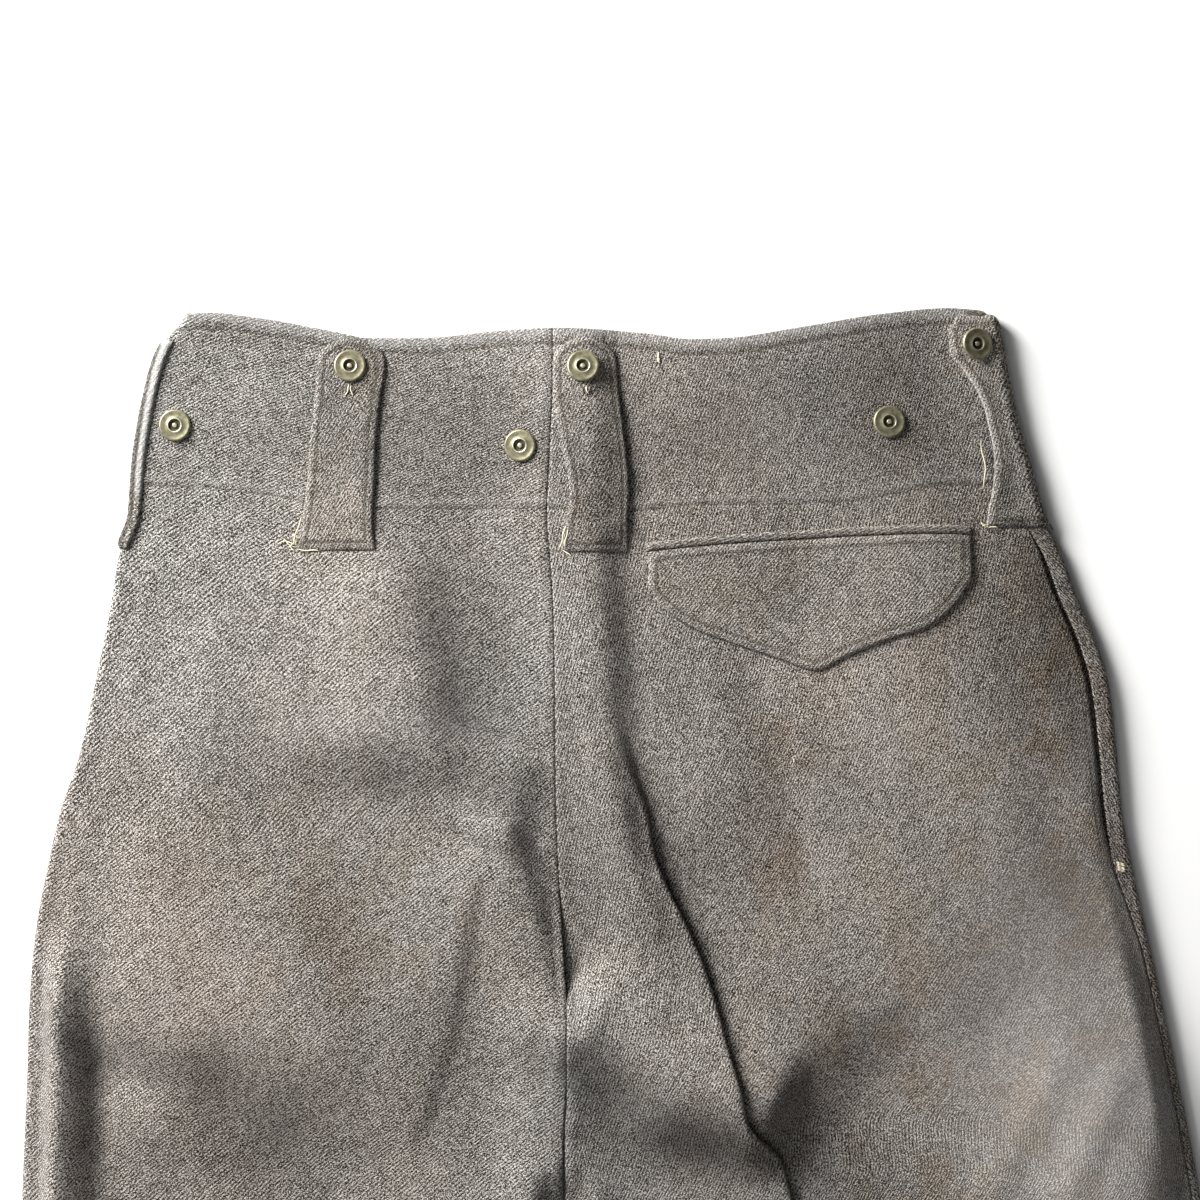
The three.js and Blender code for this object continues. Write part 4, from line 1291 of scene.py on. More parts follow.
# Depths of the rows of a fine or a coarse panel: start, stop and step of each span.
FINE_SPANS = (
    (0.0, 2.4, 0.6),
    (2.4, 14.0, 1.2),
    (14.0, 89.0, 3.0),
    (89.0, 113.0, 1.2),
    (113.0, 480.0, 2.8),
    (480.0, 1117.0, 6.2),
    (1117.0, 1120.0, 0.6),
)
COARSE_SPANS = ((0.0, 3.0, 1.0), (3.0, 1117.0, 7.0), (1117.0, 1120.0, 1.0))


def rows_of(spans: Sequence[tuple[float, float, float]]) -> Array:
    """Depths of the rows that fill some spans."""
    runs = [np.linspace(a, b, max(round((b - a) / step), 1) + 1)[:-1] for a, b, step in spans]
    return np.concatenate([*runs, [spans[-1][1]]])


def even(count: int) -> Array:
    """Parts from 0 to 1, evenly spaced."""
    return np.linspace(0, 1, count)


def left_grain(depth: Array) -> Array:
    """How steeply the twill rises on the left half, in degrees."""
    return 28 + 9 * smooth((depth - 60) / 240)


def right_grain(depth: Array) -> Array:
    """How steeply the twill rises on the right half, in degrees."""
    return 71 + 0 * depth


@dataclass
class Panel:
    """One of the four cut panels, as stretches of the garment's sections."""

    name: str
    node: str
    half: Half
    stretches: Callable[[Array], list[tuple[str, Array]]]
    grain: Callable[[Array], Array]
    fine: bool
    cut: Cut
    edge: float = 1.2
    seam_edge: float = 0.7
    seam_share: float = 0.7
    shut: float = 0.12
    shut_span: float = 20.0

    def build(self, garment: Garment, surface: Surface, material: Material) -> Piece:
        """Makes the panel as a wall of cloth.

        Args:
            garment: the sections.
            surface: the fine shape of the outer face.
            material: the panel's finish.

        Returns:
            the finished piece.
        """
        rows = rows_of(FINE_SPANS if self.fine else COARSE_SPANS)[:, None]
        runs = [garment.stretch(self.half, name, parts, rows) for name, parts in self.stretches(rows)]
        middle = np.concatenate([runs[0], *(run[:, 1:] for run in runs[1:])], axis=1)
        if self.fine:
            from_fork = rows - garment.crotch_depth + garment.fork_length + self.shut_span
            shut = self.shut * settled(from_fork, self.shut_span)
            middle[:, -1] += unit(middle[:, -1] - middle[:, -2]) * shut
        outward = self.half.value * unit(np.cross(np.gradient(middle, axis=1), np.gradient(middle, axis=0)))
        steps = np.linalg.norm(np.diff(middle, axis=1), axis=2)
        run = np.concatenate([np.zeros((len(rows), 1)), np.cumsum(steps, axis=1)], axis=1)
        from_seam = run[:, -1:] - run if self.fine else run
        x = middle[..., 0]
        depth = rows + 0 * x
        ends = rounded(np.minimum(rows, garment.length - rows) + 0 * x, self.edge)
        sides = rounded(np.minimum(run, run[:, -1:] - run), self.seam_edge)
        inside = garment.cloth / 2 * ends
        outside = garment.cloth / 2 * np.minimum(ends, self.seam_share + (1 - self.seam_share) * sides)
        # The fronts take one set of marks, whose painted shade darkens them all over.
        marks = np.zeros((*x.shape, 3)) + FRONT_MARKS
        if self.fine:
            outside = outside + surface.detail(x, depth) * smooth(outward[..., 2] * 3)
            marks = surface.marks(x, depth)
        wall = WallMesh(
            self.name,
            middle + outward * outside[..., None],
            middle - outward * inside[..., None],
            on_grain(self.half.value * from_seam, depth, self.grain(depth)),
            marks,
        )
        return self.cut.lay(declare(wall.build(material), Slot.SERGE, self.node))


@dataclass
class Panels:
    """Back and front panels of both halves."""

    garment: Garment
    surface: Surface

    def build(self, finishes: Wardrobe) -> list[Piece]:
        """Makes the four panels.

        Args:
            finishes: the materials.

        Returns:
            the finished pieces.
        """
        return [panel.build(self.garment, self.surface, finishes.serge) for panel in self._plan()]

    def _plan(self) -> list[Panel]:
        """The four panels, bottom ones first."""
        garment = self.garment
        curl, roll = even(5), even(11)

        def front_left(rows: Array) -> list[tuple[str, Array]]:
            """Stretches of the left front, from the inner edge to the side seam."""
            _, inner = garment.seam_parts(Half.LEFT, rows)
            return [("under_curl", curl), ("under", inner * even(40))]

        def front_right(rows: Array) -> list[tuple[str, Array]]:
            """Stretches of the right front, round the rolled side to the side seam."""
            outer, _ = garment.seam_parts(Half.RIGHT, rows)
            return [("under_curl", curl), ("under", even(40)), ("roll", roll), ("over", outer * even(5))]

        def back_left(rows: Array) -> list[tuple[str, Array]]:
            """Stretches of the left back, from the side seam round to the centre seam."""
            outer, _ = garment.seam_parts(Half.LEFT, rows)
            under = outer + (1 - outer) * even(6)
            return [("under", under), ("roll", roll), ("over", crowded(104, 0.5)), ("over_curl", curl)]

        def back_right(rows: Array) -> list[tuple[str, Array]]:
            """Stretches of the right back, from the side seam to the centre seam."""
            _, inner = garment.seam_parts(Half.RIGHT, rows)
            over = inner + (1 - inner) * crowded(72, 0.4)
            return [("over", over), ("tuck", even(25)), ("lobe", crowded(34, 0.5)), ("over_curl", curl)]

        plan = (
            ("front_left", Half.LEFT, front_left, left_grain, False, 0.30, 0.30, ("floor",)),
            ("front_right", Half.RIGHT, front_right, right_grain, False, 0.33, 0.31, ("floor",)),
            ("back_left", Half.LEFT, back_left, left_grain, True, 0.32, 0.31, ("cloth_front_left", "floor")),
            ("back_right", Half.RIGHT, back_right, right_grain, True, 0.36, 0.33, ("cloth_front_right",)),
        )
        return [
            Panel(f"cloth_{node}", node, half, stretches, grain, fine, Cut(width, 1.12, area, under))
            for node, half, stretches, grain, fine, width, area, under in plan
        ]


@dataclass(frozen=True)
class Shape:
    """A sewn-on piece spread out over the back: where each point of its grid lies."""

    x: Array
    depth: Array


# Edges of the left back loop: depth, left side and right side.
LEFT_LOOP = (
    (15.5, -161.0, -131.0),
    (22, -163.6, -128.4),
    (31, -164.2, -127.6),
    (47, -165.0, -129.8),
    (72, -167.6, -132.4),
    (92, -168.8, -133.0),
    (111, -170.8, -134.0),
    (129, -173.4, -132.4),
)
# Edges of the centre loop.
CENTRE_LOOP = (
    (16, -36.5, -7.8),
    (22, -38.2, -5.8),
    (30, -38.9, -5.4),
    (46, -38.6, -4.4),
    (64, -35.8, -1.8),
    (80, -32.8, 0.4),
    (93, -30.2, 1.4),
    (102, -29.8, 1.4),
    (112, -31.8, 0.6),
    (129.5, -33.2, 0.8),
)
# Edge of the right side loop, as how far it reaches onto the back from where the roll starts.
RIGHT_SIDE_LOOP = (
    (3, 15),
    (10, 23),
    (23, 24),
    (33, 18.6),
    (44, 14),
    (56, 12),
    (70, 12.5),
    (84, 15),
    (100, 21),
    (116.5, 29),
)
# Hip pocket flap: its upper and lower edges by x.
FLAP = (
    (11.4, 129.3, 148),
    (17, 128.6, 157),
    (35, 126.7, 169.6),
    (60, 124.6, 178.8),
    (84, 123.2, 187),
    (100, 122.4, 192),
    (116, 121.4, 184.5),
    (138, 120.6, 175.4),
    (157, 120, 169.5),
    (172, 120.1, 158),
    (182, 120.9, 144),
)
FLAP_TOP, FLAP_FOOT = Curve(FLAP, 1), Curve(FLAP, 2)


def nowhere(x: Array, depth: Array) -> Array:
    """Nothing at any place."""
    return 0 * x


def everywhere(x: Array, depth: Array) -> Array:
    """The whole amount at every place."""
    return 1 + 0 * x


@dataclass
class SewnPiece:
    """A piece of doubled cloth that lies on the back, with soft edges and a stitched border.

    The shares are of the full thickness, at the pressed edges and at a sewn lower end.
    """

    name: str
    node: str
    slot: Slot
    shape: Shape
    thickness: float
    grain: float
    cut: Cut
    border: float = 4.2
    gap: float = 0.25
    stitched: Spread = everywhere
    lift: Spread = nowhere
    selvage: Spread = nowhere
    # Painted shade on a part tucked under a roll.
    soil: Spread = nowhere
    edge_share: float = 0.72
    end_share: float = 1.0

    def top(self, garment: Garment, x: Array, depth: Array, away: Array) -> Array:
        """Points of the upper face.

        Args:
            garment: the cloth below.
            x: places across.
            depth: depths of the same places.
            away: distances from the piece's outline.

        Returns:
            points in millimetres.
        """
        base, outward = garment.on_back(x, depth)
        edges = self.edge_share + (1 - self.edge_share) * smooth(away / 4.5)
        end = self.end_share + (1 - self.end_share) * smooth((self.shape.depth.max() - depth) / 7)
        thick = self.thickness * rounded(away, 1.4) * np.minimum(edges, end)
        height = self._lower(garment, x, depth) + thick + self._relief(x, depth, away)
        return base + outward * height[..., None]

    def build(self, garment: Garment, material: Material) -> Piece:
        """Makes the piece.

        Args:
            garment: the cloth that it lies on.
            material: its finish.

        Returns:
            the finished piece.
        """
        x, depth = self.shape.x, self.shape.depth
        away = away_from_outline(x, depth)
        base, outward = garment.on_back(x, depth)
        lower = self._lower(garment, x, depth)
        wear = 0.07 * bell(away - 1.8, 2.2) + 0.03 + 1.3 * self.selvage(x, depth)
        # Painted shade in the stitched groove of the border and on any tucked part.
        dirt_and_shade = 0.7 * bell(away - self.border, 0.8) + self.soil(x, depth)
        wall = WallMesh(
            self.name,
            self.top(garment, x, depth, away),
            base + outward * lower[..., None],
            on_grain(x, depth, self.grain),
            np.stack([wear, dirt_and_shade, 0.35 + 0 * away], axis=-1),
        )
        return self.cut.lay(declare(wall.build(material), self.slot, self.node))

    def _lower(self, garment: Garment, x: Array, depth: Array) -> Array:
        """Height of the piece's underside above the mid-thickness of the cloth."""
        return garment.cloth / 2 + self.gap + self.lift(x, depth)

    def _relief(self, x: Array, depth: Array, away: Array) -> Array:
        """Stitched border and slight unevenness of the upper face."""
        groove = 0.42 * bell(away - self.border, 0.8) * self.stitched(x, depth)
        uneven = 0.12 * np.sin(x / 3.7 + depth / 9.1) * np.sin(depth / 5.3 - x / 8.7 + 1.1)
        return 0.1 * bell(away - self.border * 0.45, 1.8) - groove + uneven * smooth(away / 3)


@dataclass
class BeltLoops:
    """Four belt loops: two flat on the back and two wrapped round the rolled sides."""

    garment: Garment
    thickness: float = 2.4
    round_end: float = 13.0
    pieces: dict[str, SewnPiece] = field(default_factory=dict)

    def build(self, finishes: Wardrobe) -> list[Piece]:
        """Makes the four loops.

        Args:
            finishes: the materials.

        Returns:
            the finished pieces.
        """
        plan = [self._back_left(), self._back_centre(), self._side_left(), self._side_right()]
        self.pieces = {piece.name: piece for piece in plan}
        return [piece.build(self.garment, finishes.loop) for piece in plan]

    def _loop(self, place: str, shape: Shape, grain: float, cut: Cut, **extras: object) -> SewnPiece:
        """One loop, named for its place on the garment."""
        names = (f"loop_{place}", f"belt_loop_{place}")
        return SewnPiece(*names, Slot.LOOP, shape, self.thickness, grain, cut, **extras)

    def _flat(self, rows: Table) -> Shape:
        """Grid of a loop that lies flat, with a round upper end.

        Args:
            rows: depth, left edge and right edge, from the upper end down.

        Returns:
            the grid.
        """
        top, bottom = rows[0][0], rows[-1][0]
        left, right = Curve(rows, 1), Curve(rows, 2)
        turn = np.linspace(0.06, math.pi / 2, 14)
        straight = np.linspace(top + self.round_end, bottom, 90)[1:]
        depth = np.concatenate([top + self.round_end * (1 - np.cos(turn)), straight])[:, None]
        down = clamp((depth - top) / self.round_end, 0.004, 1)
        share = np.where(depth < top + self.round_end, np.sqrt(1 - (1 - down) ** 2), 1.0)
        middle = (left(depth) + right(depth)) / 2
        half_width = (right(depth) - left(depth)) / 2 * share
        across = 2 * crowded(46, 0.75)[None, :] - 1
        return Shape(middle + half_width * across, depth + 0 * across)

    def _back_left(self) -> SewnPiece:
        """The loop left of the centre back."""
        right = Curve(LEFT_LOOP, 2)

        def lift(x: Array, depth: Array) -> Array:
            """A little proud along its right edge."""
            return 0.9 * smooth((x - right(depth) + 22) / 22) * between(depth, 30, 25, 108, 20)

        cut = Cut(0.037, 0.118, 0.0040, ("cloth_back_left",))
        return self._loop("back_left", self._flat(LEFT_LOOP), 58.0, cut, lift=lift, end_share=0.45)

    def _back_centre(self) -> SewnPiece:
        """The loop right of the centre seam, twisted so that its right edge stands up."""
        left, right = Curve(CENTRE_LOOP, 1), Curve(CENTRE_LOOP, 2)

        def lift(x: Array, depth: Array) -> Array:
            """Proud along the right edge, with a ridge that runs to the left one."""
            ridge = bell(depth - 92 - 0.2 * (x + 14), 16) * smooth((left(depth) + 18 - x) / 18)
            right_side = 1.7 * smooth((x - right(depth) + 20) / 20)
            return (right_side + ridge) * between(depth, 34, 26, 112, 16)

        cut = Cut(0.037, 0.118, 0.0040, ("cloth_back_right",))
        return self._loop("back_centre", self._flat(CENTRE_LOOP), 64.0, cut, lift=lift, end_share=0.45)

    def _side_left(self) -> SewnPiece:
        """The loop that is folded under the left side, with its pale selvage on the edge."""
        past = np.concatenate([spaced(-1.2, 9.4, 14), spaced(9.4, 23.4, 8)[1:]])[None, :]
        shape = self._past_roll(Half.LEFT, np.linspace(15, 128, 58)[:, None], past)

        def selvage(x: Array, depth: Array) -> Array:
            """A pale strip along the edge that shows."""
            beyond = self._beyond(Half.LEFT, x, depth)
            return clamp(bell(beyond + 0.1, 1.6) * (1 - smooth((depth - 88) / 18)))

        def soil(x: Array, depth: Array) -> Array:
            """Painted shade on the part that turns round and under the roll."""
            return 0.45 * smooth((self._beyond(Half.LEFT, x, depth) - 1.0) / 0.8)

        cut = Cut(0.034, 0.115, 0.0037, ("cloth_back_left",))
        return self._loop("side_left", shape, 60.0, cut, border=3.4, selvage=selvage, soil=soil)

    def _side_right(self) -> SewnPiece:
        """The loop that wraps round the right side, with a pale selvage along its inner edge."""
        edge = Curve(RIGHT_SIDE_LOOP)
        rise = 7.0 * (1 - np.cos(np.linspace(0.05, math.pi / 2, 10)))
        depth = np.concatenate([3 + rise, np.linspace(10, 116.5, 54)[1:]])[:, None]
        past = -edge(depth) + (6.3 + edge(depth)) * crowded(30, 0.6)[None, :]

        def inside(x: Array, depth: Array) -> Array:
            """Distance from the inner edge."""
            return self._beyond(Half.RIGHT, x, depth) + edge(depth)

        def selvage(x: Array, depth: Array) -> Array:
            """A pale thread along the inner edge."""
            return 0.6 * clamp(bell(inside(x, depth), 0.45)) * smooth((depth - 24) / 12)

        def lift(x: Array, depth: Array) -> Array:
            """The inner edge stands up along its middle."""
            return 1.6 * smooth((13 - inside(x, depth)) / 13) * between(depth, 24, 20, 96, 18)

        cut = Cut(0.036, 0.115, 0.0034, ("cloth_back_right", "cloth_front_right"))
        shape = self._past_roll(Half.RIGHT, depth, past)
        return self._loop("side_right", shape, 74.0, cut, lift=lift, selvage=selvage, edge_share=0.42)

    def _past_roll(self, half: Half, row: Array, past: Array) -> Shape:
        """Grid of places at some distances past the line where the roll starts.

        Args:
            half: which half.
            row: depths of the rows.
            past: distances past that line.

        Returns:
            the grid.
        """
        sizes = self.garment.row_sizes(half, row)
        side = sizes["inner"] + half.value * sizes["flat_end"]
        x = sizes["inner"] + half.value * (sizes["flat_end"] + past)
        return Shape(*np.broadcast_arrays(x, self.garment.depth_at(side, row)))

    def _beyond(self, half: Half, x: Array, depth: Array) -> Array:
        """How far past the roll's start some places are."""
        sizes = self.garment.row_sizes(half, depth)
        return half.value * (x - sizes["inner"]) - sizes["flat_end"]


@dataclass
class HipPocket:
    """The pointed flap on the right back and the welt that it hangs from."""

    garment: Garment
    flap_thickness: float = 2.0
    welt_thickness: float = 2.4
    welt_height: float = 4.5
    under: tuple[str, ...] = ("cloth_back_right",)
    pieces: dict[str, SewnPiece] = field(default_factory=dict)

    def build(self, finishes: Wardrobe) -> list[Piece]:
        """Makes the flap and the welt.

        Args:
            finishes: the materials.

        Returns:
            the finished pieces.
        """
        plan = [self._flap(), self._welt()]
        self.pieces = {piece.name: piece for piece in plan}
        return [piece.build(self.garment, finishes.pocket) for piece in plan]

    @staticmethod
    def _across(more: float) -> Array:
        """Places from the flap's left end, and a little more, to its right end."""
        start = FLAP[0][0] - more
        return (start + (FLAP[-1][0] - start) * crowded(92, 0.55))[None, :]

    def _flap(self) -> SewnPiece:
        """The flap, hollow below its point and lifted at the right."""
        x = self._across(0)
        part = crowded(40, 0.6)[:, None]
        depth = FLAP_TOP(x) + part * (FLAP_FOOT(x) - FLAP_TOP(x))

        def lift(x: Array, depth: Array) -> Array:
            """Free of the cloth towards its foot, with a dent and a swelling."""
            down = clamp((depth - FLAP_TOP(x)) / (FLAP_FOOT(x) - FLAP_TOP(x)))
            dent = -0.9 * bell(np.hypot((x - 92) / 16, (depth - 158) / 16), 1.0)
            swell = 0.8 * bell(np.hypot((x - 45) / 30, (depth - 152) / 16), 1.0)
            return 0.6 * smooth(down * 1.2) + dent * smooth(down * 2) + swell

        def stitched(x: Array, depth: Array) -> Array:
            """The border is stitched except along the welt."""
            return smooth((depth - FLAP_TOP(x) - 3) / 5)

        return SewnPiece(
            "flap", "hip_pocket_flap", Slot.POCKET, Shape(x + 0 * part, depth), self.flap_thickness, 53.0,
            Cut(0.180, 0.084, 0.0100, self.under), border=4.6, stitched=stitched, lift=lift,
        )

    def _welt(self) -> SewnPiece:
        """The welt, a narrow folded band."""
        x = self._across(1)
        part = crowded(12, 0.7)[:, None]
        depth = FLAP_TOP(x) - 0.3 - self.welt_height * (1 - part)
        return SewnPiece(
            "welt", "hip_pocket_welt", Slot.POCKET, Shape(x + 0 * part, depth), self.welt_thickness, 20.0,
            Cut(0.172, 0.010, 0.00078, self.under), border=2.9,
        )


@dataclass
class SidePocket:
    """The strip inside the right side pocket, which shows through its slit."""

    garment: Garment
    thickness: float = 1.2
    reach: float = 12.0
    grain: float = 71.0
    # Wear, painted shade and browning: the strip is darkened for the shade inside the slit.
    marks: tuple[float, float, float] = (0.0, 0.6, 0.6)

    def build(self, finishes: Wardrobe) -> Piece:
        """Makes the strip.

        Args:
            finishes: the materials.

        Returns:
            the finished piece.
        """
        garment = self.garment
        depth = np.linspace(garment.pocket_top, garment.pocket_bottom, 60)[:, None]
        sizes = garment.row_sizes(Half.RIGHT, depth)
        inner = garment.seam_out(Half.RIGHT, depth) - self.reach
        x = sizes["inner"] + inner + (sizes["flat_end"] - inner) * even(17)[None, :]
        base, outward = garment.on_back(x, depth + 0 * x)
        top = -(garment.cloth / 2 + garment.trim_gap)
        wall = WallMesh(
            "pocket_facing",
            base + outward * top,
            base + outward * (top - self.thickness),
            on_grain(x, depth, self.grain),
            np.zeros((*x.shape, 3)) + self.marks,
        )
        piece = declare(wall.build(finishes.pocket), Slot.POCKET, "side_pocket_facing")
        return Cut(0.020, 0.180, 0.0032, ("cloth_front_right",)).lay(piece)


# Section of a ring button from its rim inwards, as radius and height above its underside.
BUTTON_SECTION = (
    (8.1, 0.0),
    (8.5, 0.45),
    (8.5, 1.1),
    (8.1, 1.65),
    (7.6, 1.85),
    (7.0, 1.72),
    (6.0, 1.56),
    (4.6, 1.6),
    (4.0, 1.88),
    (3.6, 2.0),
    (3.25, 1.85),
    (3.1, 0.55),
    (1.5, 0.45),
    (1.35, 1.2),
    (1.1, 1.5),
    (0.6, 1.58),
)


@dataclass(frozen=True)
class Button:
    """Where one ring button sits: what it holds, its side, place and turn, and how it leans."""

    holds: str
    side: str
    x: float
    depth: float
    turn: float
    lean: float = 0.0


BUTTONS = (
    Button("jacket", "left", -238.7, 62.5, 10),
    Button("jacket", "centre", -55.9, 73.1, 75),
    Button("jacket", "right", 138.1, 61.0, 140),
    Button("loop", "left", -146.5, 31.3, 200),
    Button("loop", "centre", -23.0, 32.3, 265),
    Button("loop", "right", 184.5, 19.6, 310, 16.0),
)


@dataclass
class RingButtons:
    """Dished metal buttons with an open middle and the end of the shank in it."""

    garment: Garment
    radius: float = 8.5
    sides: int = 72
    gap: float = 0.3
    soft_edge: float = 0.09

    def build(self, finishes: Wardrobe) -> list[Piece]:
        """Models one button and sets a copy of it at each place.

        Args:
            finishes: the materials.

        Returns:
            the finished pieces.
        """
        model = self._model()
        model.data.materials.append(finishes.metal)
        made = [self._set(model, button) for button in BUTTONS]
        bpy.data.objects.remove(model)
        return made

    def _model(self) -> Piece:
        """One button at the origin, drawn up ring by ring from its underside.

        Returns:
            the model, with its edges softened.
        """
        bpy.ops.object.select_all(action="DESELECT")
        (radius, _), *rings = BUTTON_SECTION
        size = {"vertices": self.sides, "radius": radius * MM}
        bpy.ops.mesh.primitive_circle_add(fill_type="NGON", calc_uvs=False, **size)
        model = bpy.context.object
        bpy.ops.object.mode_set(mode="EDIT")
        bpy.ops.mesh.select_mode(type="FACE")
        bpy.ops.mesh.select_all(action="SELECT")
        below = 0.0
        for wide, height in rings:
            rise = (height - below) * MM
            bpy.ops.mesh.extrude_region_move(TRANSFORM_OT_translate={"value": (0, 0, rise)})
            share = wide / radius
            bpy.ops.transform.resize(value=(share, share, 1), center_override=(0, 0, height * MM))
            radius, below = wide, height
        bpy.ops.mesh.select_all(action="SELECT")
        bpy.ops.mesh.normals_make_consistent(inside=False)
        bpy.ops.object.mode_set(mode="OBJECT")
        self._close_underside(model)
        bevel = model.modifiers.new("soft_edges", "BEVEL")
        bevel.width = self.soft_edge * MM
        bevel.segments = 2
        bevel.limit_method = "ANGLE"
        bevel.angle_limit = math.radians(24)
        bpy.ops.object.modifier_apply(modifier=bevel.name)
        bpy.ops.object.shade_smooth_by_angle(angle=math.radians(50))
        return model

    @staticmethod
    def _close_underside(model: Piece) -> None:
        """Fills the underside where the first face was drawn up."""
        shape = bmesh.new()
        shape.from_mesh(model.data)
        open_edges = [edge for edge in shape.edges if edge.is_boundary]
        bmesh.ops.contextual_create(shape, geom=open_edges)
        bmesh.ops.recalc_face_normals(shape, faces=shape.faces)
        shape.to_mesh(model.data)
        shape.free()

    def _set(self, model: Piece, button: Button) -> Piece:
        """Sets a copy of the model square on the cloth, or leaning on its shank.

        Args:
            model: the button at the origin.
            button: where it goes.

        Returns:
            the finished piece.
        """
        garment = self.garment
        point, outward = garment.on_back(np.array([button.x]), np.array([button.depth]))
        stack = garment.trim_gap + garment.loop_thickness if button.holds == "loop" else 0.0
        tilt = math.radians(button.lean)
        height = garment.cloth / 2 + stack + self.gap + self.radius * math.sin(tilt)
        seat = (point[0] + outward[0] * height) * MM
        square = Vector((0, 0, 1)).rotation_difference(Vector(outward[0])).to_matrix().to_4x4()
        lean = Matrix.Rotation(tilt, 4, "Y")
        turn = Matrix.Rotation(math.radians(button.turn), 4, "Z")
        mesh = model.data.copy()
        name = f"button_{button.holds}_{button.side}"
        mesh.name = name
        self._mark(mesh)
        mesh.transform(Matrix.Translation(seat) @ square @ lean @ turn)
        piece = place(bpy.data.objects.new(name, mesh))
        return declare(piece, Slot.METAL, f"{button.holds}_button_{button.side}")

    @staticmethod
    def _mark(mesh: bpy.types.Mesh) -> None:
        """Writes where the paint is worn, the painted shade in the open middle and the dirt in the dish.

        Args:
            mesh: a button at the origin.
        """
        points = np.empty(len(mesh.vertices) * 3, np.float32)
        mesh.vertices.foreach_get("co", points)
        points = points.reshape(-1, 3) / MM
        away = np.hypot(points[:, 0], points[:, 1])
        high = points[:, 2]
        wear = 0.5 * bell(away - 8.2, 0.5) * smooth(high) + 0.75 * bell(away - 3.6, 0.45) * smooth(high - 0.9)
        wear += 0.6 * smooth((1.6 - away) / 0.5) * smooth((high - 0.7) / 0.5)
        # Painted shade in the open middle round the shank's end, and dirt in the dish.
        dirt_and_shade = smooth((3.3 - away) / 0.4) * (1 - smooth((high - 0.7) / 0.5))
        dirt_and_shade += 0.25 * bell(away - 5.4, 1.0)
        write_marks(mesh, np.stack([wear, dirt_and_shade, 0 * wear], axis=1))


def thread_piece(
    name: str, points: Array, faces: list[tuple[int, ...]], slot: Slot, material: Material
) -> Piece:
    """Makes one declared piece of thread from points in millimetres.

    Args:
        name: the piece's name.
        points: its points.
        faces: its faces.
        slot: the finish of the cloth under it.
        material: the thread's finish.

    Returns:
        the finished piece.
    """
    mesh = bpy.data.meshes.new(name)
    mesh.from_pydata((points * MM).tolist(), [], faces)
    mesh.shade_smooth()
    mesh.materials.append(material)
    return declare(place(bpy.data.objects.new(name, mesh)), slot)


def copied(faces: list[tuple[int, ...]], count: int, points: int) -> list[tuple[int, ...]]:
    """Faces of several copies of a model, each with so many points."""
    return [tuple(copy * points + i for i in face) for copy in range(count) for face in faces]


@dataclass(frozen=True)
class StitchRow:
    """A row of machine stitches along a line on the cloth or on a sewn-on piece."""

    path: Array
    piece: SewnPiece | None = None
    pitch: float = 3.1


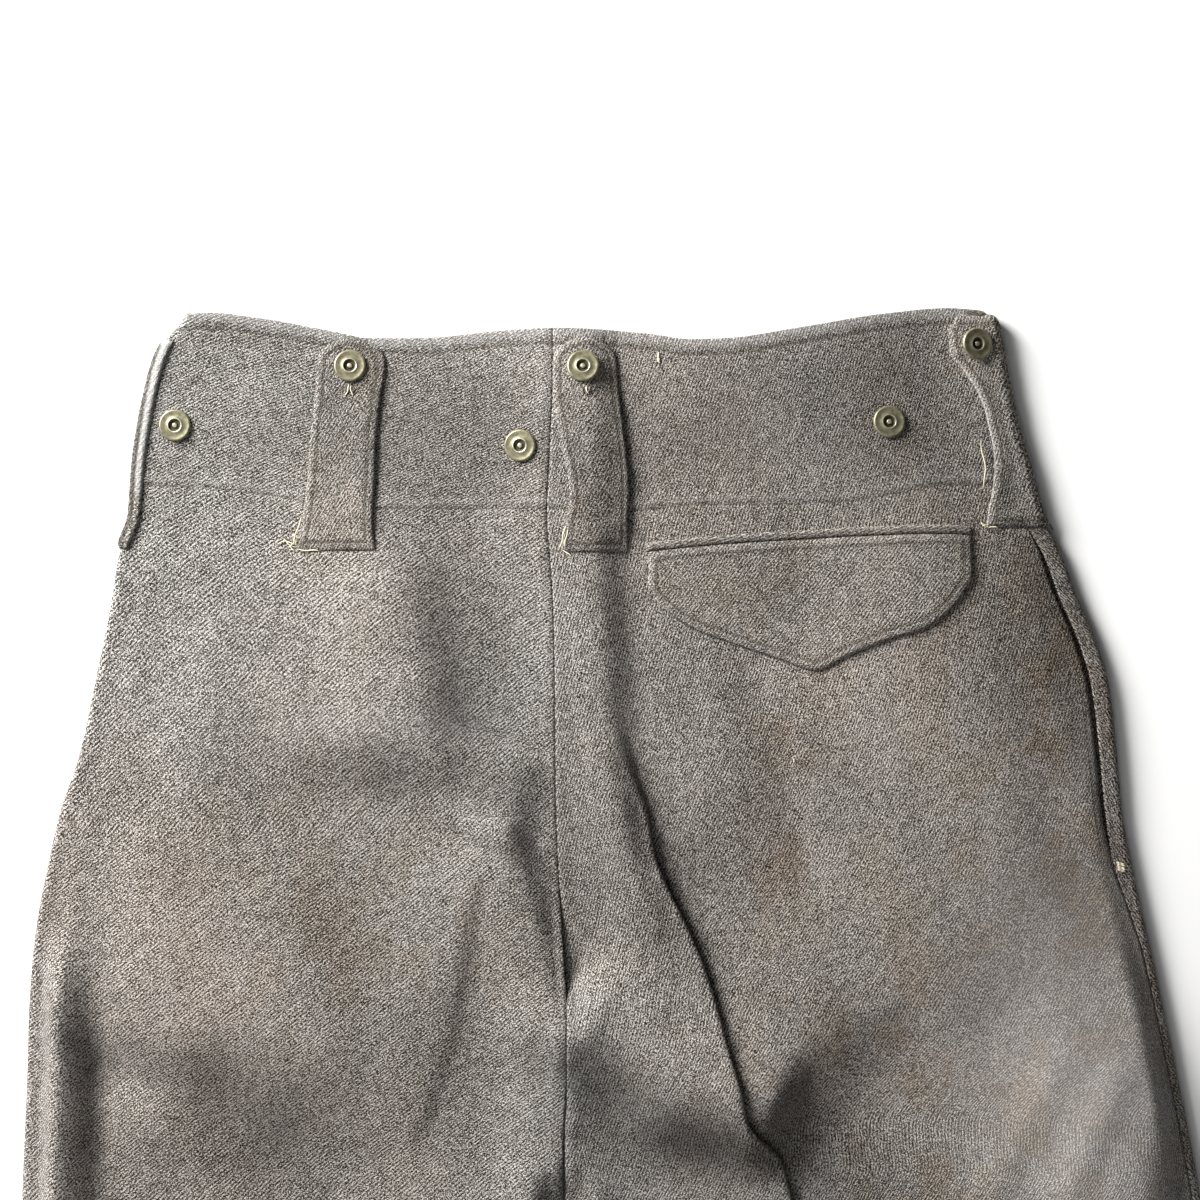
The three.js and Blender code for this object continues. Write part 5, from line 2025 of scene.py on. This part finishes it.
@dataclass
class Stitching:
    """Machine stitches, one small model copied along every stitched line."""

    garment: Garment
    surface: Surface
    length: float = 2.3
    thick: float = 0.46
    sides: int = 6
    sunk: float = 0.1
    band_ends: tuple[float, float] = (-298.0, 300.0)
    facing_ends: tuple[float, float] = (-290.0, 296.0)
    slit_margin: float = 3.0
    beside_slit: float = 6.2
    bar_up: float = 12.0

    def build(self, name: str, rows: Sequence[StitchRow], slot: Slot, material: Material) -> Piece:
        """Makes one piece from several rows of stitches.

        Args:
            name: the piece's name.
            rows: the stitched lines.
            slot: the finish of the cloth that they hold.
            material: the thread's finish.

        Returns:
            the finished piece.
        """
        points, faces = self._model()
        centres, along, outward = (np.concatenate(parts) for parts in zip(*map(self._seats, rows)))
        sideways = unit(np.cross(outward, along))
        frames = np.stack([unit(np.cross(sideways, outward)), sideways, outward], axis=2)
        copies = np.einsum("nij,pj->npi", frames, points) + centres[:, None, :]
        faces = copied(faces, len(centres), len(points))
        return thread_piece(name, copies.reshape(-1, 3), faces, slot, material)

    def _model(self) -> tuple[Array, list[tuple[int, ...]]]:
        """Points and faces of one stitch that lies along X, thick in the middle.

        Returns:
            the points, and the faces as numbers of points.
        """
        rings = ((0.5, 0.28, -0.55), (0.4, 0.8, -0.2), (0.15, 1.0, 0.0))
        rings = [(-along, share, fall) for along, share, fall in rings] + list(reversed(rings))
        turn = np.linspace(0, 2 * math.pi, self.sides, endpoint=False)
        round_y, round_z = np.cos(turn) * self.thick / 2, np.sin(turn) * self.thick / 2
        points = []
        for along, share, fall in rings:
            x = 0 * turn + along * self.length
            points.append(np.stack([x, share * round_y, share * round_z + fall * self.thick], axis=1))
        return np.concatenate(points), tube_faces(len(rings), self.sides)

    def _seats(self, row: StitchRow) -> tuple[Array, Array, Array]:
        """Centres, directions and outward directions of the stitches of one row.

        Args:
            row: the stitched line.

        Returns:
            one row of each for every stitch.
        """
        steps = np.hypot(*np.diff(row.path, axis=0).T)
        run = np.concatenate([[0], np.cumsum(steps)])
        count = max(int(run[-1] / row.pitch), 1)
        pitch = run[-1] / count
        at = (np.arange(count) + 0.5) * pitch

        def places(run_to: Array) -> tuple[Array, Array]:
            """Places at some distances along the row."""
            return np.interp(run_to, run, row.path[:, 0]), np.interp(run_to, run, row.path[:, 1])

        ahead, behind = (self._points(row, *places(at + way * pitch * 0.3)) for way in (1, -1))
        _, outward = self.garment.on_back(*places(at))
        return self._points(row, *places(at)), unit(ahead - behind), outward

    def _points(self, row: StitchRow, x: Array, depth: Array) -> Array:
        """Where stitches lie on the face that they hold.

        Args:
            row: the stitched line.
            x: places across the garment.
            depth: depths of the same places.

        Returns:
            points in millimetres.
        """
        base, outward = self.garment.on_back(x, depth)
        height = self.thick / 2 - self.sunk
        if row.piece:
            points = row.piece.top(self.garment, x, depth, np.full(x.shape, row.piece.border))
            return points + outward * height
        height = height + self.garment.cloth / 2 + self.surface.detail(x, self.garment.row_at(x, depth))
        return base + outward * height[:, None]

    def border_of(self, piece: SewnPiece, skip_top: bool = False) -> StitchRow:
        """A row that runs round a piece inside its outline, or round all but its upper edge.

        Args:
            piece: the sewn-on piece.
            skip_top: whether the upper edge has no stitches.

        Returns:
            the row.
        """
        line = outline_of(piece.shape.x, piece.shape.depth)
        tangent = unit(np.roll(line, -1, axis=0) - np.roll(line, 1, axis=0))
        inward = np.stack([-tangent[:, 1], tangent[:, 0]], axis=1)
        if ((line.mean(axis=0) - line) * inward).sum() < 0:
            inward = -inward
        moved = line + inward * piece.border
        kept = moved[self._away(moved, line) > piece.border * 0.93]
        if skip_top:
            top = line[: piece.shape.x.shape[1]]
            kept = kept[self._away(kept, top) > piece.border * 1.05]
        return StitchRow(kept, piece)

    def across(self, piece: SewnPiece, up: float, inset: float = 2.0) -> StitchRow:
        """A row straight across a piece at a distance above its lower end.

        Args:
            piece: the sewn-on piece.
            up: distance above its lower end.
            inset: how far from its sides the row ends.

        Returns:
            the row.
        """
        x, depth = piece.shape.x, piece.shape.depth
        level = depth[-1] - up
        left, right = (np.interp(level[side], depth[:, side], x[:, side]) for side in (0, -1))
        return StitchRow(np.array([(left + inset, level[0]), (right - inset, level[-1])]), piece)

    def sew(self, loops: BeltLoops, hip: HipPocket, finishes: Wardrobe) -> list[Piece]:
        """Makes all the machine stitching.

        Args:
            loops: the belt loops.
            hip: the hip pocket.
            finishes: the materials.

        Returns:
            the finished pieces.
        """
        garment = self.garment
        band = np.linspace(*self.band_ends, 240)
        held = np.linspace(*self.facing_ends, 220)
        margin = self.slit_margin
        slit = np.linspace(garment.pocket_top + margin, garment.pocket_bottom - margin, 60)
        seam = garment.row_sizes(Half.RIGHT, slit)["inner"] + garment.seam_out(Half.RIGHT, slit)
        body = [
            StitchRow(np.stack([band, garment.depth_at(band, 0 * band + self.surface.band_stitch)], axis=1)),
            StitchRow(np.stack([held, garment.depth_at(held, garment.facing_line(held))], axis=1)),
            StitchRow(np.stack([seam - self.beside_slit, slit], axis=1)),
        ]
        sewn = [self.border_of(piece) for piece in loops.pieces.values()]
        flat = (loops.pieces[name] for name in ("loop_back_left", "loop_back_centre"))
        sewn += [self.across(piece, self.bar_up) for piece in flat]
        pocket = [self.border_of(hip.pieces["flap"], skip_top=True)]
        thread = finishes.khaki_thread
        return [
            self.build("stitches_cloth", body, Slot.SERGE, thread),
            self.build("stitches_loops", sewn, Slot.LOOP, thread),
            self.build("stitches_pocket", pocket, Slot.POCKET, thread),
        ]

    @staticmethod
    def _away(points: Array, line: Array) -> Array:
        """Distance from each point to the nearest point of a fine line."""
        parts = np.linspace(0, 1, 6, endpoint=False)
        fine = np.concatenate([line[:-1] + (line[1:] - line[:-1]) * part for part in parts])
        return np.sqrt(((points[:, None, :] - fine[None]) ** 2).sum(axis=2)).min(axis=1)


@dataclass(frozen=True)
class LooseThread:
    """A thread end: where it starts, which way it runs over the cloth and how it curls."""

    x: float
    depth: float
    heading: float
    length: float
    curl: float = 0.0
    above: float = 0.0
    thick: float = 0.42
    rise: float = 0.5


# Thread ends at the left loop's corner, the centre loop's corner, the right side loop, the waist,
# the flap, the pocket's bar tack and the buttonholes. Headings are in degrees, with 0 to the right
# and 90 down.
CREAM_ENDS = (
    (-173.6, 127.6, 196, 8.5, 40, 0.2),
    (-174.0, 126.4, 222, 10.0, -70, 0.4),
    (-173.8, 127.0, 246, 7.0, 110, 0.8, 0.5),
    (-175.0, 125.0, 160, 5.5, -150, 0.6),
    (-174.6, 128.0, 10, 12.0, -14, 0.3, 0.5),
    (-175.2, 127.4, 283, 15.5, 6, 2.2, 0.55),
    (-176.5, 122.0, 300, 4.5, 160, 0.3),
    (-35.4, 128.8, 288, 12.5, -8, 1.9, 0.5),
    (-32.2, 127.6, 276, 9.0, 10, 2.2, 0.45),
    (-33.6, 128.4, 20, 6.0, 30, 1.8, 0.4),
    (186.6, 68.4, 78, 26.0, 14, 3.6, 0.45, 1.2),
    (190.6, 116.6, 190, 4.5, 60, 1.2, 0.5),
    (191.2, 117.2, 250, 4.0, -90, 1.6, 0.5),
    (191.0, 117.0, 330, 5.0, 60, 1.8, 0.5),
    (17.0, 23.0, 84, 5.4, 20, 0.0, 0.6),
    (17.8, 26.0, 120, 3.4, -60, 0.0, 0.5),
    (88.4, 238.6, 30, 2.0, 90, 0.0, 0.6),
    (258.4, 293.6, 14, 5.2, 0, 0.2, 0.6),
    (258.6, 294.6, 12, 5.4, 0, 0.4, 0.6),
    (258.8, 295.6, 15, 5.0, 0, 0.2, 0.6),
    (258.9, 296.6, 13, 5.3, 0, 0.4, 0.6),
    (259.0, 297.6, 14, 5.0, 0, 0.2, 0.6),
    (-147.2, 40.6, 84, 5.2, 30, 2.7, 0.5),
    (-145.6, 41.2, 104, 6.0, -50, 2.7, 0.4),
    (-147.8, 43.6, 70, 3.6, 90, 2.7, 0.4),
    (-21.6, 42.4, 96, 4.4, -40, 2.7, 0.45),
)
KHAKI_ENDS = (
    (-144.8, 42.0, 70, 4.6, 60, 2.7, 0.4),
    (-148.0, 41.6, 120, 4.0, -40, 2.7, 0.4),
    (-20.4, 42.6, 76, 4.2, 60, 2.7, 0.4),
    (-22.6, 43.0, 118, 3.2, -60, 2.7, 0.4),
    (187.4, 24.6, 92, 4.2, -40, 2.7, 0.4),
    (186.4, 25.4, 116, 3.2, 60, 2.7, 0.35),
    (13.0, 129.4, 92, 11.0, 24, 0.0, 0.35),
    (225.0, 116.0, 30, 4.0, 60, 2.7, 0.35),
)


@dataclass
class ThreadEnds:
    """Loose ends, a frayed buttonhole and a bar tack, as thin tubes over the cloth."""

    garment: Garment
    rings: int = 14
    sides: int = 6

    def build(self, name: str, table: Table, slot: Slot, material: Material) -> Piece:
        """Makes one piece from several thread ends.

        Args:
            name: the piece's name.
            table: the thread ends.
            slot: the finish of the cloth that they hang from.
            material: the thread's finish.

        Returns:
            the finished piece.
        """
        points = np.concatenate([self._tube(LooseThread(*row)).reshape(-1, 3) for row in table])
        faces = copied(tube_faces(self.rings, self.sides), len(table), self.rings * self.sides)
        return thread_piece(name, points, faces, slot, material)

    def _tube(self, thread: LooseThread) -> Array:
        """Rings of points along one thread, thin at both ends.

        Args:
            thread: the thread end.

        Returns:
            the rings, from its start.
        """
        part = even(self.rings)
        turn = np.radians(thread.heading + thread.curl * part + 9 * np.sin(part * 9 + thread.length))
        step = thread.length / (self.rings - 1)
        x = thread.x + np.cumsum(np.cos(turn)) * step
        depth = thread.depth + np.cumsum(np.sin(turn)) * step
        base, outward = self.garment.on_back(x, depth)
        full = thread.thick * 0.72
        arch = np.sin(part * math.pi) * (0.6 + 0.4 * np.sin(part * 7 + thread.x))
        height = self.garment.cloth / 2 + thread.above + full + thread.rise * arch
        line = base + outward * height[:, None]
        along = unit(np.gradient(line, axis=0))
        sideways = unit(np.cross(outward, along))
        up = np.cross(along, sideways)
        around = np.linspace(0, 2 * math.pi, self.sides, endpoint=False)[None, :, None]
        radius = full * (0.35 + 0.65 * smooth(np.minimum(part, 1 - part) * 6))
        ring = sideways[:, None] * np.cos(around) + up[:, None] * np.sin(around)
        return line[:, None] + ring * radius[:, None, None]


@dataclass
class Studio:
    """Floor, lights and the camera that looks straight down."""

    centre: tuple[float, float] = (-0.014, 0.4052)
    width: float = 0.636
    height: float = 1.5
    focus: float = 0.008
    sensor: float = 36.0
    floor_reach: float = 7.0
    floor_drop: float = 0.0002

    def build(self) -> None:
        """Makes everything that isn't part of the trousers."""
        self._floor()
        self._lights()
        self._camera()

    def _floor(self) -> None:
        """A plain pale floor with a very slight mottle."""
        mesh = bpy.data.meshes.new("floor")
        ways = ((-1, -1), (1, -1), (1, 1), (-1, 1))
        corners = [(x * self.floor_reach, y * self.floor_reach, -self.floor_drop) for x, y in ways]
        mesh.from_pydata(corners, [], [(0, 1, 2, 3)])
        material, graph = blank_material("pale_floor")
        mottle = graph.spread(graph.noise(graph.here(), (3.0,) * 3), 0.3, 0.7)
        colour = graph.blend(mottle, (0.93, 0.93, 0.93, 1), (0.96, 0.96, 0.955, 1))
        graph.shade({"Base Color": colour, "Roughness": 0.8})
        mesh.materials.append(material)
        place(bpy.data.objects.new("floor", mesh))

    def _lights(self) -> None:
        """A soft key light from the upper left, a broad weak fill and a pale surround."""
        aim = Vector((*self.centre, 0))
        for name, away, size, watts in (
            ("key", (-1.25, 0.95, 0.8), 0.9, 98.0),
            ("fill", (-0.3, -1.0, 1.3), 1.4, 7.0),
        ):
            data = bpy.data.lights.new(name, "AREA")
            data.shape = "SQUARE"
            data.size = size
            data.energy = watts
            data.color = (1.0, 0.995, 0.985)
            lamp = place(bpy.data.objects.new(name, data))
            lamp.location = aim + Vector(away)
            lamp.rotation_euler = (aim - lamp.location).to_track_quat("-Z", "Y").to_euler()
        world = bpy.data.worlds.new("surround")
        world.use_nodes = True
        colour, strength = world.node_tree.nodes["Background"].inputs[:2]
        colour.default_value = (0.95, 0.97, 1.0, 1)
        strength.default_value = 0.045
        bpy.context.scene.world = world

    def _camera(self) -> None:
        """A camera straight above, framed on the waist and seat."""
        data = bpy.data.cameras.new("camera")
        data.sensor_width = self.sensor
        data.lens = self.sensor * (self.height - self.focus) / self.width
        camera = place(bpy.data.objects.new("camera", data))
        camera.location = (*self.centre, self.height)
        bpy.context.scene.camera = camera
        bpy.context.scene.view_settings.view_transform = "Standard"


def main() -> None:
    """Builds the trousers piece by piece, and the studio round them."""
    logging.basicConfig(level=logging.INFO, format="%(name)s: %(message)s")
    Studio().build()
    finishes = Wardrobe()
    garment = Garment()
    surface = Surface(garment)
    Panels(garment, surface).build(finishes)
    loops = BeltLoops(garment)
    loops.build(finishes)
    hip = HipPocket(garment)
    hip.build(finishes)
    SidePocket(garment).build(finishes)
    RingButtons(garment).build(finishes)
    Stitching(garment, surface).sew(loops, hip, finishes)
    ends = ThreadEnds(garment)
    ends.build("cream_thread_ends", CREAM_ENDS, Slot.LOOP, finishes.cream_thread)
    ends.build("khaki_thread_ends", KHAKI_ENDS, Slot.LOOP, finishes.khaki_thread)


if __name__ == "__main__":
    main()
